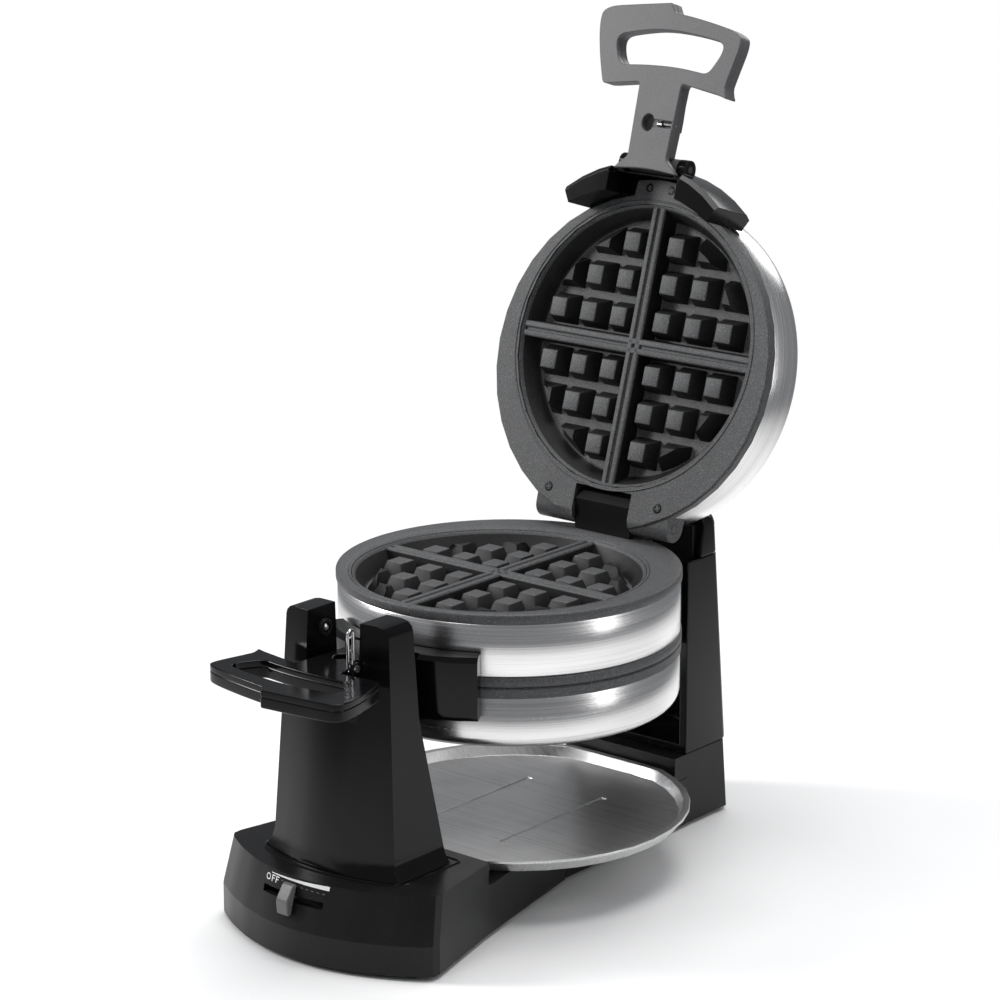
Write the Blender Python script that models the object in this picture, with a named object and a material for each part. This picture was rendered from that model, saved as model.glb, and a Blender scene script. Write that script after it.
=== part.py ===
# Flip waffle maker: a base with two pillars carries a double cooking unit with a lid above and a lid below.
# Metres, +Z up, the control side at -Y. The origin is on the ground under the middle of the whole object.
import math

import bmesh
import bpy
from mathutils import Vector

# Gaps and cuts
GAP = 0.0003
OVERRUN = 0.002
FINE_STEPS = 36
GRID_STEPS = 30
ELEMENT_STEPS = 14
ROUND_STEPS = 16
SMALL_STEPS = 10
FLAT_ANGLE = math.radians(0.2)

# Main places, measured from the upright centre line of the round housing
HOUSING_Y = 0.0216
FLIP_HEIGHT = 0.1837
FLANGE_RADIUS = 0.112
HINGE_INSET = 0.008
HINGE_BACK = FLANGE_RADIUS - HINGE_INSET
HINGE_RISE = 0.011
GRID_FORWARD = 0.01015
LID_OPEN_ANGLE = math.radians(107)

# Round housing
BAND_INSET = 0.001
BAND_RADIUS = FLANGE_RADIUS - BAND_INSET
UNIT_HALF = 0.0235
RIM_THICK = 0.0062
BAND_WALL = 0.0014
RIM_EDGE = 0.0012

# Waffle grids
FLANGE_WIDTH = 0.017
GRID_RADIUS = FLANGE_RADIUS - FLANGE_WIDTH
GRID_DEPTH = 0.0135
GRID_PLATE = 0.0024
RIB_DROP = 0.002
STUD_DROP = 0.0032
STUD_PITCH = 0.0254
STUD_BASE = 0.0206
STUD_TOP = 0.0125
STUD_FIRST = 0.018
STUDS_PER_SIDE = 4
RIB_FOOT = 0.0135
RIB_CREST = 0.0094
RIB_GROOVE = 0.0022
RIB_GROOVE_DEPTH = 0.0016

# Heating elements
ELEMENT_INSET = 0.031
ELEMENT_RADIUS = GRID_RADIUS - ELEMENT_INSET
ELEMENT_THICK = 0.0048
ELEMENT_OPENING = math.radians(34)
ELEMENT_SIDES = 5

# Lids
LID_FLANGE_THICK = 0.0065
LID_DEPTH = 0.0412
LID_ROUNDING = 0.009
LID_WALL = 0.0012

# Hinge between the unit and each lid
HINGE_PIN_RADIUS = 0.0028
HINGE_BLOCK_HALF = 0.023
HINGE_BLOCK_TOP = 0.015
HINGE_BLOCK_REACH = 0.007
SPINE_THICK = 0.0097
EAR_OUTER = 0.055
HINGE_RELIEF_SLOPE = 0.4
EAR_RADIUS = 0.009

# Handle brackets, wrapped round the front of each lid
BRACKET_HALF = 0.0634
BRACKET_THICK = 0.0122
BRACKET_BULGE = 0.0055
BRACKET_OUTWARD = 0.008
BRACKET_EDGE = 0.003
CHEEK_INNER = 0.0205
CHEEK_THICK = 0.007
CHEEK_RADIUS = 0.0062
HANDLE_PIN_RADIUS = 0.0024
HANDLE_PIN_REACH = 0.0178
HANDLE_PIN_OUT = FLANGE_RADIUS + HANDLE_PIN_REACH
HANDLE_PIN_SIDE = 0.0201

# Handles
HANDLE_FACE_GAP = 0.001
HANDLE_THICK = 0.0115
STEM_HALF_ROOT = 0.0158
STEM_HALF_TIP = 0.0172
STEM_LENGTH = 0.0472
GRIP_START = HANDLE_PIN_OUT + STEM_LENGTH
GRIP_SIZE = 0.0598
GRIP_EDGE_SHARE = 0.16
GRIP_CHAMFER = 0.003
TEE_HALF = 0.029
TEE_INNER = 0.008
TEE_THICK = 0.0042
CATCH_REACH = 0.0263
CATCH_OUT = HANDLE_PIN_OUT + CATCH_REACH
CATCH_OVAL_LONG = 0.0055
CATCH_OVAL_WIDE = 0.0045
CATCH_OVAL_SIDE = 0.0042
CATCH_DEPTH = 0.0052
CATCH_SLOT_HALF = 0.0019
CATCH_PIN_RADIUS = 0.0012
CATCH_BALL_RADIUS = 0.0026
CATCH_BALL_SIDE = 0.0041

# Wire latch on the lower handle
WIRE_RADIUS = 0.0011
WIRE_SIDES = 6
WIRE_WIDTH = 0.007
WIRE_HEIGHT = 0.028
WIRE_SIDE = 0.0187
LATCH_REACH = 0.0432
LATCH_OUT = HANDLE_PIN_OUT + LATCH_REACH
STUD_RADIUS = 0.0013
STUD_HEAD_RADIUS = 0.0024
LATCH_PIVOT_RISE = 0.0009
LUG_THICK = 0.0026
LUG_HALF = 0.003

# Front pillar
PILLAR_RISE = 0.0277
PILLAR_TOP = FLIP_HEIGHT + PILLAR_RISE
PILLAR_HALF_FOOT = 0.050
PILLAR_HALF_TOP = 0.042
NOTCH_HALF = 0.0215
NOTCH_FLOOR = 0.034
NOTCH_ROUNDING = 0.008
PILLAR_SPACE = 0.0305
PILLAR_REAR_TOP = FLANGE_RADIUS + PILLAR_SPACE
PILLAR_WAIST_LEAN = 0.002
PILLAR_REAR_WAIST = PILLAR_REAR_TOP - PILLAR_WAIST_LEAN
PILLAR_FOOT_LEAN = 0.018
PILLAR_REAR_FOOT = PILLAR_REAR_TOP - PILLAR_FOOT_LEAN
PILLAR_WAIST_DROP = 0.036
PILLAR_DEPTH_FOOT = 0.0457
PILLAR_DEPTH_WAIST = 0.0262
PILLAR_DEPTH_TOP = 0.022
PILLAR_BULGE = 0.012
PILLAR_WALL = 0.004
PILLAR_FLARE = 0.006
PILLAR_CORNER = 0.008
REST_BALL_DROP = 0.0144
REST_BALL_HEIGHT = PILLAR_TOP - REST_BALL_DROP
REST_BALL_INSET = 0.0095
REST_BALL_OUT = PILLAR_REAR_TOP + REST_BALL_INSET
REST_BOSS_RADIUS = 0.0062
REST_BALL_RADIUS = 0.003

# Base
BASE_WALL = 0.003
DECK_HEIGHT = 0.0525
NOSE_LENGTH = 0.0877
NOSE_REACH = PILLAR_REAR_FOOT + NOSE_LENGTH
NOSE_HALF = 0.090
NOSE_WALL_HEIGHT = 0.0225
NOSE_CORNER_LENGTH = 0.0332
NOSE_CORNER_REACH = NOSE_REACH - NOSE_CORNER_LENGTH
DECK_LEAN = 0.0092
DECK_REACH = NOSE_REACH - DECK_LEAN
DECK_HALF = 0.0865
DECK_CORNER_LENGTH = 0.0308
DECK_CORNER_REACH = DECK_REACH - DECK_CORNER_LENGTH
DECK_BACK_LENGTH = 0.017
DECK_BACK = PILLAR_REAR_FOOT - DECK_BACK_LENGTH
DECK_BACK_HALF = 0.0735
BRIDGE_HALF = 0.0476
BRIDGE_TOP = 0.0356
NOSE_CORNER = 0.007
SIDE_HALF = 0.0712
KINK_Y = 0.0045
REAR_FRONT_SPACE = 0.019
REAR_FRONT = FLANGE_RADIUS + REAR_FRONT_SPACE
REAR_STEP = 0.012
REAR_DECK_Y = REAR_FRONT - REAR_STEP
FOOT_INSET = 0.002
FOOT_Y = REAR_FRONT + FOOT_INSET
FOOT_LENGTH = 0.056
FOOT_BACK = REAR_FRONT + FOOT_LENGTH
FLOOR_CLEARANCE = 0.003
BOTTOM_PLATE = 0.002
PAD_RADIUS = 0.009
PAD_HEIGHT = 0.003
PAD_FRONT_SIDE = 0.070
PAD_FRONT_INSET = 0.0362
PAD_FRONT_OUT = NOSE_REACH - PAD_FRONT_INSET
PAD_REAR_SIDE = 0.034
PAD_REAR_INSET = 0.019
PAD_REAR_OUT = FOOT_BACK - PAD_REAR_INSET

# Drip tray
TRAY_RADIUS = 0.1146
TRAY_Y = 0.008
TRAY_RIM = 0.0445
TRAY_WALL = 0.0018
TRAY_REAR_GAP = 0.002
TRAY_REAR_Y = REAR_DECK_Y - TRAY_REAR_GAP
TRAY_DRAFT = 0.006
TRAY_GROOVE_SIDE = 0.0317
TRAY_GROOVE_HALF = 0.0022
TRAY_GROOVE_DEPTH = 0.0008
TRAY_GROOVE_FRONT = 0.046
TRAY_GROOVE_BACK = 0.061

# Rear pillar
REAR_HALF = 0.0472
REAR_WALL = 0.006
REAR_SEAM_RISE = 0.0048
REAR_SEAM = FLIP_HEIGHT + REAR_SEAM_RISE
REAR_CAP_HEIGHT = 0.0295
REAR_TOP = REAR_SEAM + REAR_CAP_HEIGHT
REAR_DEPTH_TOP = 0.034
REAR_BACK_TOP = REAR_FRONT + REAR_DEPTH_TOP
REAR_ROUNDING = 0.008
CAP_STEP = 0.0135
CAP_FRONT_LOW = REAR_FRONT + CAP_STEP
CAP_LEAN = 0.003
CAP_FRONT_HIGH = CAP_FRONT_LOW + CAP_LEAN

# Rear axle and its bearing
AXLE_RADIUS = 0.008
AXLE_FLANGE_RADIUS = 0.017
AXLE_FLANGE_THICK = 0.0045
BUSH_WALL = 0.0035
BEARING_STEP = 0.013
BEARING_FRONT = REAR_FRONT + BEARING_STEP
BEARING_DEPTH = 0.012
BEARING_HALF_HEIGHT = 0.026

# Temperature slider
SLIDER_CENTRE = -0.0035
SLIDER_REST = 0.0037
SLOT_HALF_LENGTH = 0.0255
SLOT_HALF_HEIGHT = 0.0022
KNOB_HALF = 0.0046
KNOB_HEIGHT = 0.019
KNOB_STAND = 0.0075
LEVER_HALF = 0.0016
CONTROL_LENGTH = 0.060
CONTROL_DEPTH = 0.016

# Mains inlet at the back of the base
INLET_RADIUS = 0.0065
INLET_LENGTH = 0.016
INLET_HEIGHT = 0.022
INLET_COLLAR = 0.0025

# Outline of the handle's grip, seen from its face: shares of the grip's size, sideways and outward
GRIP_OUTER_SHARES = [
    (-0.79, 0.03), (-0.92, 0.36), (-1.0, 0.68), (-0.985, 0.80), (-0.92, 0.875), (-0.5, 0.95),
    (-0.05, 1.0), (0.04, 0.87), (0.45, 0.82), (0.85, 0.76), (0.96, 0.70), (0.98, 0.60),
    (0.92, 0.36), (0.87, 0.15), (0.91, 0.0), (0.78, 0.035), (0.30, 0.115), (-0.28, 0.08),
]
GRIP_WINDOW_SHARES = [
    (-0.62, 0.27), (-0.68, 0.38), (-0.71, 0.50), (-0.70, 0.56), (-0.62, 0.60), (-0.42, 0.645),
    (-0.10, 0.69), (0.08, 0.68), (0.42, 0.645), (0.68, 0.615), (0.76, 0.585), (0.765, 0.53),
    (0.70, 0.37), (0.63, 0.26), (0.58, 0.25), (0.50, 0.26), (0.20, 0.29), (-0.30, 0.28),
]

AXES = {
    "X": lambda u, v, w: (w, u, v),
    "Y": lambda u, v, w: (u, w, v),
    "Z": lambda u, v, w: (u, v, w),
}


# Plain building functions
def paint(name, colour, roughness, metallic=0.0):
    material = bpy.data.materials.new(name)
    material.use_nodes = True
    shader = material.node_tree.nodes["Principled BSDF"]
    shader.inputs["Base Color"].default_value = (*colour, 1.0)
    shader.inputs["Roughness"].default_value = roughness
    shader.inputs["Metallic"].default_value = metallic
    return material


def body(name, place, parent=None, turn=(0.0, 0.0, 0.0)):
    empty = bpy.data.objects.new(name, None)
    bpy.context.scene.collection.objects.link(empty)
    empty.parent = parent
    empty.location = place
    empty.rotation_euler = turn
    return empty


def shape(bm):
    bmesh.ops.recalc_face_normals(bm, faces=bm.faces)
    mesh = bpy.data.meshes.new("shape")
    bm.to_mesh(mesh)
    bm.free()
    blank = bpy.data.objects.new("shape", mesh)
    bpy.context.scene.collection.objects.link(blank)
    return blank


def loft(rings, closed=False):
    bm = bmesh.new()
    rows = [[bm.verts.new(point) for point in ring] for ring in rings]
    pairs = list(zip(rows, rows[1:]))
    if closed:
        pairs.append((rows[-1], rows[0]))
    count = len(rows[0])
    for near, far in pairs:
        for i in range(count):
            j = (i + 1) % count
            bm.faces.new((near[i], near[j], far[j], far[i]))
    if not closed:
        bm.faces.new(list(reversed(rows[0])))
        bm.faces.new(rows[-1])
    return shape(bm)


def prism(outline, low, high, axis="Z"):
    place = AXES[axis]
    return loft([[place(u, v, w) for u, v in outline] for w in (low, high)])


def box(low, high):
    return prism([(low[0], low[1]), (high[0], low[1]), (high[0], high[1]), (low[0], high[1])], low[2], high[2])


def turned(profile, steps=FINE_STEPS, axis="Z", centre=(0.0, 0.0, 0.0)):
    place, middle = AXES[axis], Vector(centre)
    bm = bmesh.new()
    poles = {i: bm.verts.new(middle + Vector(place(0, 0, h))) for i, (r, h) in enumerate(profile) if r == 0}
    columns = []
    for k in range(steps):
        angle = math.tau * k / steps
        columns.append([
            poles[i] if i in poles
            else bm.verts.new(middle + Vector(place(r * math.cos(angle), r * math.sin(angle), h)))
            for i, (r, h) in enumerate(profile)
        ])
    for k in range(steps):
        near, far = columns[k], columns[(k + 1) % steps]
        for i in range(len(profile)):
            j = (i + 1) % len(profile)
            corners = list(dict.fromkeys((near[i], near[j], far[j], far[i])))
            if len(corners) > 2:
                bm.faces.new(corners)
    return shape(bm)


def rod(radius, low, high, axis="Z", centre=(0.0, 0.0, 0.0), steps=SMALL_STEPS):
    return turned([(0.0, low), (radius, low), (radius, high), (0.0, high)], steps, axis, centre)


def ball(radius, centre, steps=SMALL_STEPS):
    rings = steps // 2
    profile = [(radius * math.sin(math.pi * i / rings), -radius * math.cos(math.pi * i / rings)) for i in range(1, rings)]
    return turned([(0.0, -radius), *profile, (0.0, radius)], steps, "Z", centre)


def sweep(points, normal, radius, sides, closed=False):
    path, up = [Vector(p) for p in points], Vector(normal)
    rings = []
    for i, point in enumerate(path):
        before = path[i - 1] if closed or i > 0 else path[i]
        after = path[(i + 1) % len(path)] if closed or i + 1 < len(path) else path[i]
        side = (after - before).normalized().cross(up)
        rings.append([
            point + radius * (math.cos(math.tau * k / sides) * side + math.sin(math.tau * k / sides) * up)
            for k in range(sides)
        ])
    return loft(rings, closed)


def combine(target, other, operation):
    modifier = target.modifiers.new("combine", "BOOLEAN")
    modifier.operation = operation
    modifier.object = other
    graph = bpy.context.evaluated_depsgraph_get()
    result = bpy.data.meshes.new_from_object(target.evaluated_get(graph))
    target.modifiers.remove(modifier)
    target.data = result
    bpy.data.objects.remove(other)
    return target


def cut(target, *others):
    for other in others:
        combine(target, other, "DIFFERENCE")
    return target


def fuse(target, *others):
    for other in others:
        combine(target, other, "UNION")
    return target


# Joins the flat faces that cuts have split, which drops the points between them
def tidy(target):
    bm = bmesh.new()
    bm.from_mesh(target.data)
    bmesh.ops.remove_doubles(bm, verts=bm.verts, dist=GAP / 100)
    bmesh.ops.dissolve_limit(bm, angle_limit=FLAT_ANGLE, verts=bm.verts, edges=bm.edges)
    bm.to_mesh(target.data)
    bm.free()
    return target


def rounded(points, radius, steps=3):
    result = []
    for i, corner in enumerate(points):
        here = Vector(corner)
        start, end = Vector(points[i - 1]) - here, Vector(points[(i + 1) % len(points)]) - here
        start *= min(radius / start.length, 0.45)
        end *= min(radius / end.length, 0.45)
        for k in range(steps + 1):
            t = k / steps
            result.append(tuple(here + (1 - t) ** 2 * start + t ** 2 * end))
    return result


def finish(blank, name, material, parent):
    blank.name = name
    blank.data.name = name
    blank.data.materials.clear()
    blank.data.materials.append(material)
    blank.data.shade_smooth()
    blank.data.set_sharp_from_angle(angle=math.radians(32))
    blank.parent = parent
    return blank


def copy_of(source, name, parent, place=(0.0, 0.0, 0.0), turn=(0.0, 0.0, 0.0)):
    twin = bpy.data.objects.new(name, source.data)
    bpy.context.scene.collection.objects.link(twin)
    twin.parent = parent
    twin.location = place
    twin.rotation_euler = turn
    return twin


# One waffle grid: a dish with square studs and a crossing pair of double ribs, face up at the flange plane
def waffle_grid():
    floor = -RIB_DROP - GRID_DEPTH
    starts = [STUD_FIRST + STUD_PITCH * k for k in range(STUDS_PER_SIDE)]
    middles = sorted([-s for s in starts] + starts)
    half = STUD_BASE / 2
    lines = sorted([m - half for m in middles] + [m + half for m in middles])
    bm = bmesh.new()
    rows = [[bm.verts.new((x, y, floor)) for x in lines] for y in lines]
    slope = (STUD_BASE - STUD_TOP) / 2
    count = len(lines)
    for j in range(count - 1):
        for i in range(count - 1):
            corners = [rows[j][i], rows[j][i + 1], rows[j + 1][i + 1], rows[j + 1][i]]
            if i % 2 or j % 2:
                bm.faces.new(corners)
                continue
            centre = Vector((lines[i] + half, lines[j] + half, 0.0))
            top = [
                bm.verts.new((c.co.x - math.copysign(slope, c.co.x - centre.x),
                              c.co.y - math.copysign(slope, c.co.y - centre.y), -STUD_DROP))
                for c in corners
            ]
            bm.faces.new(top)
            for k in range(4):
                bm.faces.new((corners[k], corners[(k + 1) % 4], top[(k + 1) % 4], top[k]))
    reach = lines[-1]
    base = [bm.verts.new((x, y, floor - GRID_PLATE)) for x, y in
            ((-reach, -reach), (reach, -reach), (reach, reach), (-reach, reach))]
    bm.faces.new(list(reversed(base)))
    edges = [rows[0], [row[-1] for row in rows], list(reversed(rows[-1])), [row[0] for row in reversed(rows)]]
    for k, edge in enumerate(edges):
        bm.faces.new([base[k], base[(k + 1) % 4], *reversed(edge)])
    grid = shape(bm)
    foot, crest, groove = RIB_FOOT / 2, RIB_CREST / 2, RIB_GROOVE / 2
    profile = [
        (-foot, floor - GRID_PLATE / 2), (foot, floor - GRID_PLATE / 2), (crest, -RIB_DROP), (groove, -RIB_DROP),
        (0.0, -RIB_DROP - RIB_GROOVE_DEPTH), (-groove, -RIB_DROP), (-crest, -RIB_DROP),
    ]
    dish = rod(GRID_RADIUS - GRID_PLATE / 2, floor - 2 * GRID_PLATE, OVERRUN, steps=GRID_STEPS)
    combine(grid, dish, "INTERSECT")
    inside = GRID_RADIUS - GRID_PLATE / 3
    fuse(grid, prism(profile, -inside, inside, "Y"))
    fuse(grid, prism(profile, -inside, inside, "X"))
    wall = turned([
        (GRID_RADIUS - GRID_PLATE, floor - GRID_PLATE - GAP), (GRID_RADIUS, floor - GRID_PLATE - GAP),
        (GRID_RADIUS, -RIB_DROP / 2), (inside, -RIB_DROP / 2),
    ], GRID_STEPS)
    return tidy(fuse(grid, wall))


# One tubular heating element, an open ring lying under a grid's plate
def heating_element():
    steps = ELEMENT_STEPS
    span = math.tau - ELEMENT_OPENING
    points = []
    for k in range(steps + 1):
        angle = math.pi / 2 + ELEMENT_OPENING / 2 + span * k / steps
        points.append((ELEMENT_RADIUS * math.cos(angle), ELEMENT_RADIUS * math.sin(angle), 0.0))
    return sweep(points, (0.0, 0.0, 1.0), ELEMENT_THICK / 2, ELEMENT_SIDES)


# Lid parts, in a frame whose origin is on the hinge axis with the housing at -Y and the cooking face down
LID_FACE = -(HINGE_RISE - GAP)
LID_FLANGE_TOP = LID_FACE + LID_FLANGE_THICK
HOUSING = (0.0, -HINGE_BACK, 0.0)
GRID_MIDDLE = (0.0, -HINGE_BACK - GRID_FORWARD, 0.0)
EAR_FRONT = HINGE_BLOCK_TOP + 2 * RIM_EDGE
EAR_WALL = GRID_RADIUS - HINGE_BACK - GRID_FORWARD + GAP


def lid_flange():
    plate = turned([
        (0.0, LID_FACE), (FLANGE_RADIUS - RIM_EDGE, LID_FACE), (FLANGE_RADIUS, LID_FACE + RIM_EDGE),
        (FLANGE_RADIUS, LID_FLANGE_TOP), (0.0, LID_FLANGE_TOP),
    ], centre=HOUSING)
    ear = [(EAR_RADIUS * math.sin(a), EAR_RADIUS * math.cos(a)) for a in
           (math.pi * k / SMALL_STEPS for k in range(SMALL_STEPS + 1))]
    ear += [(-EAR_FRONT, LID_FACE + RIM_EDGE), (-EAR_FRONT, EAR_RADIUS)]
    fuse(plate, prism(ear, -EAR_OUTER, EAR_OUTER, "X"))
    wall_half = EAR_OUTER - 2 * GAP
    fuse(plate, box((-wall_half, EAR_WALL, LID_FLANGE_TOP - RIM_EDGE),
                    (wall_half, -EAR_FRONT + 2 * GAP, HINGE_BLOCK_TOP + RIM_EDGE)))
    half = HINGE_BLOCK_HALF + GAP
    reach = 2 * HINGE_INSET
    relief = [(-OVERRUN, LID_FACE - HINGE_RELIEF_SLOPE * OVERRUN), (reach, LID_FACE - HINGE_RELIEF_SLOPE * OVERRUN),
              (reach, LID_FACE + HINGE_RELIEF_SLOPE * reach)]
    return cut(
        plate,
        prism(relief, -FLANGE_RADIUS, FLANGE_RADIUS, "X"),
        rod(GRID_RADIUS + GAP, LID_FACE - OVERRUN, LID_FLANGE_TOP + OVERRUN, "Z", GRID_MIDDLE, GRID_STEPS),
        box((-half, -EAR_FRONT, LID_FACE - OVERRUN), (half, FLANGE_RADIUS, EAR_RADIUS + OVERRUN)),
        rod(HINGE_PIN_RADIUS + GAP, -EAR_OUTER - OVERRUN, EAR_OUTER + OVERRUN, "X"),
    )


def lid_shell():
    low, top = LID_FLANGE_TOP + GAP, LID_FACE + LID_DEPTH

    def side(radius, height, rounding, steps):
        return [(radius - rounding + rounding * math.cos(a), height - rounding + rounding * math.sin(a))
                for a in (math.pi / 2 * k / steps for k in range(steps + 1))]

    outer = side(BAND_RADIUS, top, LID_ROUNDING, 4)
    inner = side(BAND_RADIUS - LID_WALL, top - LID_WALL, LID_ROUNDING - LID_WALL, 2)
    profile = [(0.0, top - LID_WALL), *reversed(inner), (BAND_RADIUS - LID_WALL, low), (BAND_RADIUS, low), *outer, (0.0, top)]
    shell = turned(profile, centre=HOUSING)
    half = EAR_OUTER + GAP
    ears = box((-half, EAR_WALL - GAP, low - OVERRUN), (half, FLANGE_RADIUS, HINGE_BLOCK_TOP + RIM_EDGE + GAP))
    return cut(shell, ears)


def bracket():
    pin_y, pin_z = -(HINGE_BACK + HANDLE_PIN_OUT), -HANDLE_PIN_SIDE
    low = -(HINGE_RISE + UNIT_HALF - HANDLE_FACE_GAP)
    high = BRACKET_OUTWARD
    inner = FLANGE_RADIUS + GAP
    edge, steps = BRACKET_EDGE, SMALL_STEPS
    rings = []
    for k in range(steps + 1):
        share = 2 * k / steps - 1
        across = math.asin(share * BRACKET_HALF / (inner + BRACKET_THICK))
        outer = inner + BRACKET_THICK + BRACKET_BULGE * (1 - share * share)
        section = [(inner, low), (outer - edge, low), (outer, low + edge), (outer, high - 2 * edge),
                   (outer - edge, high), (inner, high)]
        rings.append([(r * math.sin(across), -HINGE_BACK - r * math.cos(across), z) for r, z in section])
    strap = loft(rings)
    clear = CHEEK_RADIUS + 2 * GAP
    reach = pin_y - BRACKET_THICK
    face = pin_z - clear - GAP
    cheek = [(pin_y - CHEEK_RADIUS * math.sin(a), pin_z + CHEEK_RADIUS * math.cos(a)) for a in
             (math.pi * k / SMALL_STEPS for k in range(SMALL_STEPS + 1))]
    cheek += [(pin_y + clear, pin_z - CHEEK_RADIUS), (pin_y + clear, pin_z + CHEEK_RADIUS)]
    cut(strap, box((-CHEEK_INNER, reach, low - OVERRUN), (CHEEK_INNER, pin_y + clear, pin_z + clear)))
    tee = TEE_HALF + GAP
    cut(strap, box((-tee, reach, low - OVERRUN), (tee, pin_y + TEE_INNER + 2 * GAP, face)))
    for inside in (CHEEK_INNER, -CHEEK_INNER - CHEEK_THICK):
        fuse(strap, prism(cheek, inside, inside + CHEEK_THICK, "X"))
    bore = rod(HANDLE_PIN_RADIUS + GAP, -TEE_HALF, TEE_HALF, "X", (0.0, pin_y, pin_z))
    return cut(strap, bore)


def handle_pin():
    return rod(HANDLE_PIN_RADIUS, -CHEEK_INNER - CHEEK_THICK, CHEEK_INNER + CHEEK_THICK, "X")


# Handle, in a frame whose origin is on its pin, the grip at -Y and the face that meets the other handle down
HANDLE_FACE = -(HINGE_RISE + UNIT_HALF - HANDLE_FACE_GAP - HANDLE_PIN_SIDE)
HANDLE_BACK = HANDLE_FACE + HANDLE_THICK


def grip():
    rings = []
    for (ox, oy), (wx, wy) in zip(GRIP_OUTER_SHARES, GRIP_WINDOW_SHARES):
        outer = Vector((ox, -oy)) * GRIP_SIZE - Vector((0.0, GRIP_START - HANDLE_PIN_OUT))
        window = Vector((wx, -wy)) * GRIP_SIZE - Vector((0.0, GRIP_START - HANDLE_PIN_OUT))
        low, high, cant = HANDLE_FACE, HANDLE_BACK, GRIP_CHAMFER
        places = [
            (0.0, low + cant), (0.0, high - cant), (GRIP_EDGE_SHARE, high), (1 - GRIP_EDGE_SHARE, high),
            (1.0, high - cant), (1.0, low + cant), (1 - GRIP_EDGE_SHARE, low), (GRIP_EDGE_SHARE, low),
        ]
        rings.append([(*outer.lerp(window, share), z) for share, z in places])
    return loft(rings, closed=True)


def handle_blank():
    stem_end = -(GRIP_START - HANDLE_PIN_OUT) - 2 * GRIP_EDGE_SHARE * GRIP_SIZE
    cant = GRIP_CHAMFER
    rings = []
    for y, half in ((CHEEK_RADIUS - cant, STEM_HALF_ROOT), (stem_end, STEM_HALF_TIP)):
        rings.append([(x, y, z) for x, z in (
            (-half + cant, HANDLE_FACE), (half - cant, HANDLE_FACE), (half, HANDLE_FACE + cant), (half, HANDLE_BACK - cant),
            (half - cant, HANDLE_BACK), (-half + cant, HANDLE_BACK), (-half, HANDLE_BACK - cant), (-half, HANDLE_FACE + cant))])
    handle = fuse(grip(), loft(rings))
    inner_half = CHEEK_INNER - GAP
    fuse(handle, rod(CHEEK_RADIUS, -inner_half, inner_half, "X"))
    tee_rings = []
    for z, inset in ((HANDLE_FACE, RIM_EDGE * 2), (HANDLE_FACE + RIM_EDGE * 2, 0.0), (HANDLE_FACE + TEE_THICK, 0.0)):
        tee_rings.append([(-STEM_HALF_TIP, -cant, z), (STEM_HALF_TIP, -cant, z),
                          (TEE_HALF - inset, TEE_INNER - inset, z), (0.0, TEE_INNER - cant, z),
                          (-TEE_HALF + inset, TEE_INNER - inset, z)])
    fuse(handle, loft(tee_rings))
    bore = rod(HANDLE_PIN_RADIUS + GAP, -TEE_HALF, TEE_HALF, "X")
    return cut(handle, bore)


# Recess in the handle's meeting face with the slot that the catch pin lies in
def handle_with_catch(side):
    handle = handle_blank()
    middle = -(CATCH_OUT - HANDLE_PIN_OUT)
    oval = [(CATCH_OVAL_WIDE * math.cos(a) - side * CATCH_OVAL_SIDE, CATCH_OVAL_LONG * math.sin(a) + middle)
            for a in (math.tau * k / SMALL_STEPS for k in range(SMALL_STEPS))]
    floor = HANDLE_FACE + CATCH_DEPTH
    cut(handle, prism(oval, HANDLE_FACE - OVERRUN, floor))
    slot_end = side * (STEM_HALF_TIP + OVERRUN)
    low_x, high_x = sorted((-side * CATCH_OVAL_SIDE, slot_end))
    return cut(handle, box((low_x, middle - CATCH_SLOT_HALF, HANDLE_FACE - OVERRUN), (high_x, middle + CATCH_SLOT_HALF, floor)))


def catch_pin(side):
    height = HANDLE_FACE + CATCH_DEPTH - GAP - CATCH_PIN_RADIUS
    place = (0.0, -(CATCH_OUT - HANDLE_PIN_OUT), height)
    low_x, high_x = sorted((side * CATCH_BALL_SIDE, side * (STEM_HALF_TIP - OVERRUN / 2)))
    pin = rod(CATCH_PIN_RADIUS, low_x, high_x, "X", place, SMALL_STEPS // 2)
    lift = CATCH_BALL_RADIUS - CATCH_PIN_RADIUS
    bead = rod(CATCH_SLOT_HALF - GAP, side * CATCH_BALL_SIDE - CATCH_SLOT_HALF, side * CATCH_BALL_SIDE + CATCH_SLOT_HALF,
               "X", (place[0], place[1], place[2] - lift / 2), SMALL_STEPS)
    return fuse(pin, bead)


# Wire latch: a closed loop that turns on a headed stud, which a lug on the lower handle's flank carries
LATCH_Y = -(LATCH_OUT - HANDLE_PIN_OUT)
LATCH_Z = -(HINGE_RISE + UNIT_HALF - HANDLE_PIN_SIDE + LATCH_PIVOT_RISE)
LUG_INNER = WIRE_SIDE + WIRE_RADIUS + 2 * GAP


def add_lug(handle, side):
    foot_low = LATCH_Z + STUD_RADIUS + 2 * WIRE_RADIUS + 3 * GAP
    outline = [
        (STEM_HALF_ROOT, foot_low), (LUG_INNER, foot_low), (LUG_INNER, LATCH_Z - LUG_HALF),
        (LUG_INNER + LUG_THICK, LATCH_Z - LUG_HALF), (LUG_INNER + LUG_THICK, foot_low + LUG_THICK),
        (STEM_HALF_ROOT, foot_low + 2 * LUG_THICK),
    ]
    lug = prism([(side * x, z) for x, z in outline], LATCH_Y - LUG_HALF, LATCH_Y + LUG_HALF, "Y")
    fuse(handle, lug)
    low, high = sorted((side * (LUG_INNER - OVERRUN / 2), side * (LUG_INNER + LUG_THICK + OVERRUN)))
    return cut(handle, rod(STUD_RADIUS + GAP, low, high, "X", (0.0, LATCH_Y, LATCH_Z)))


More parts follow.
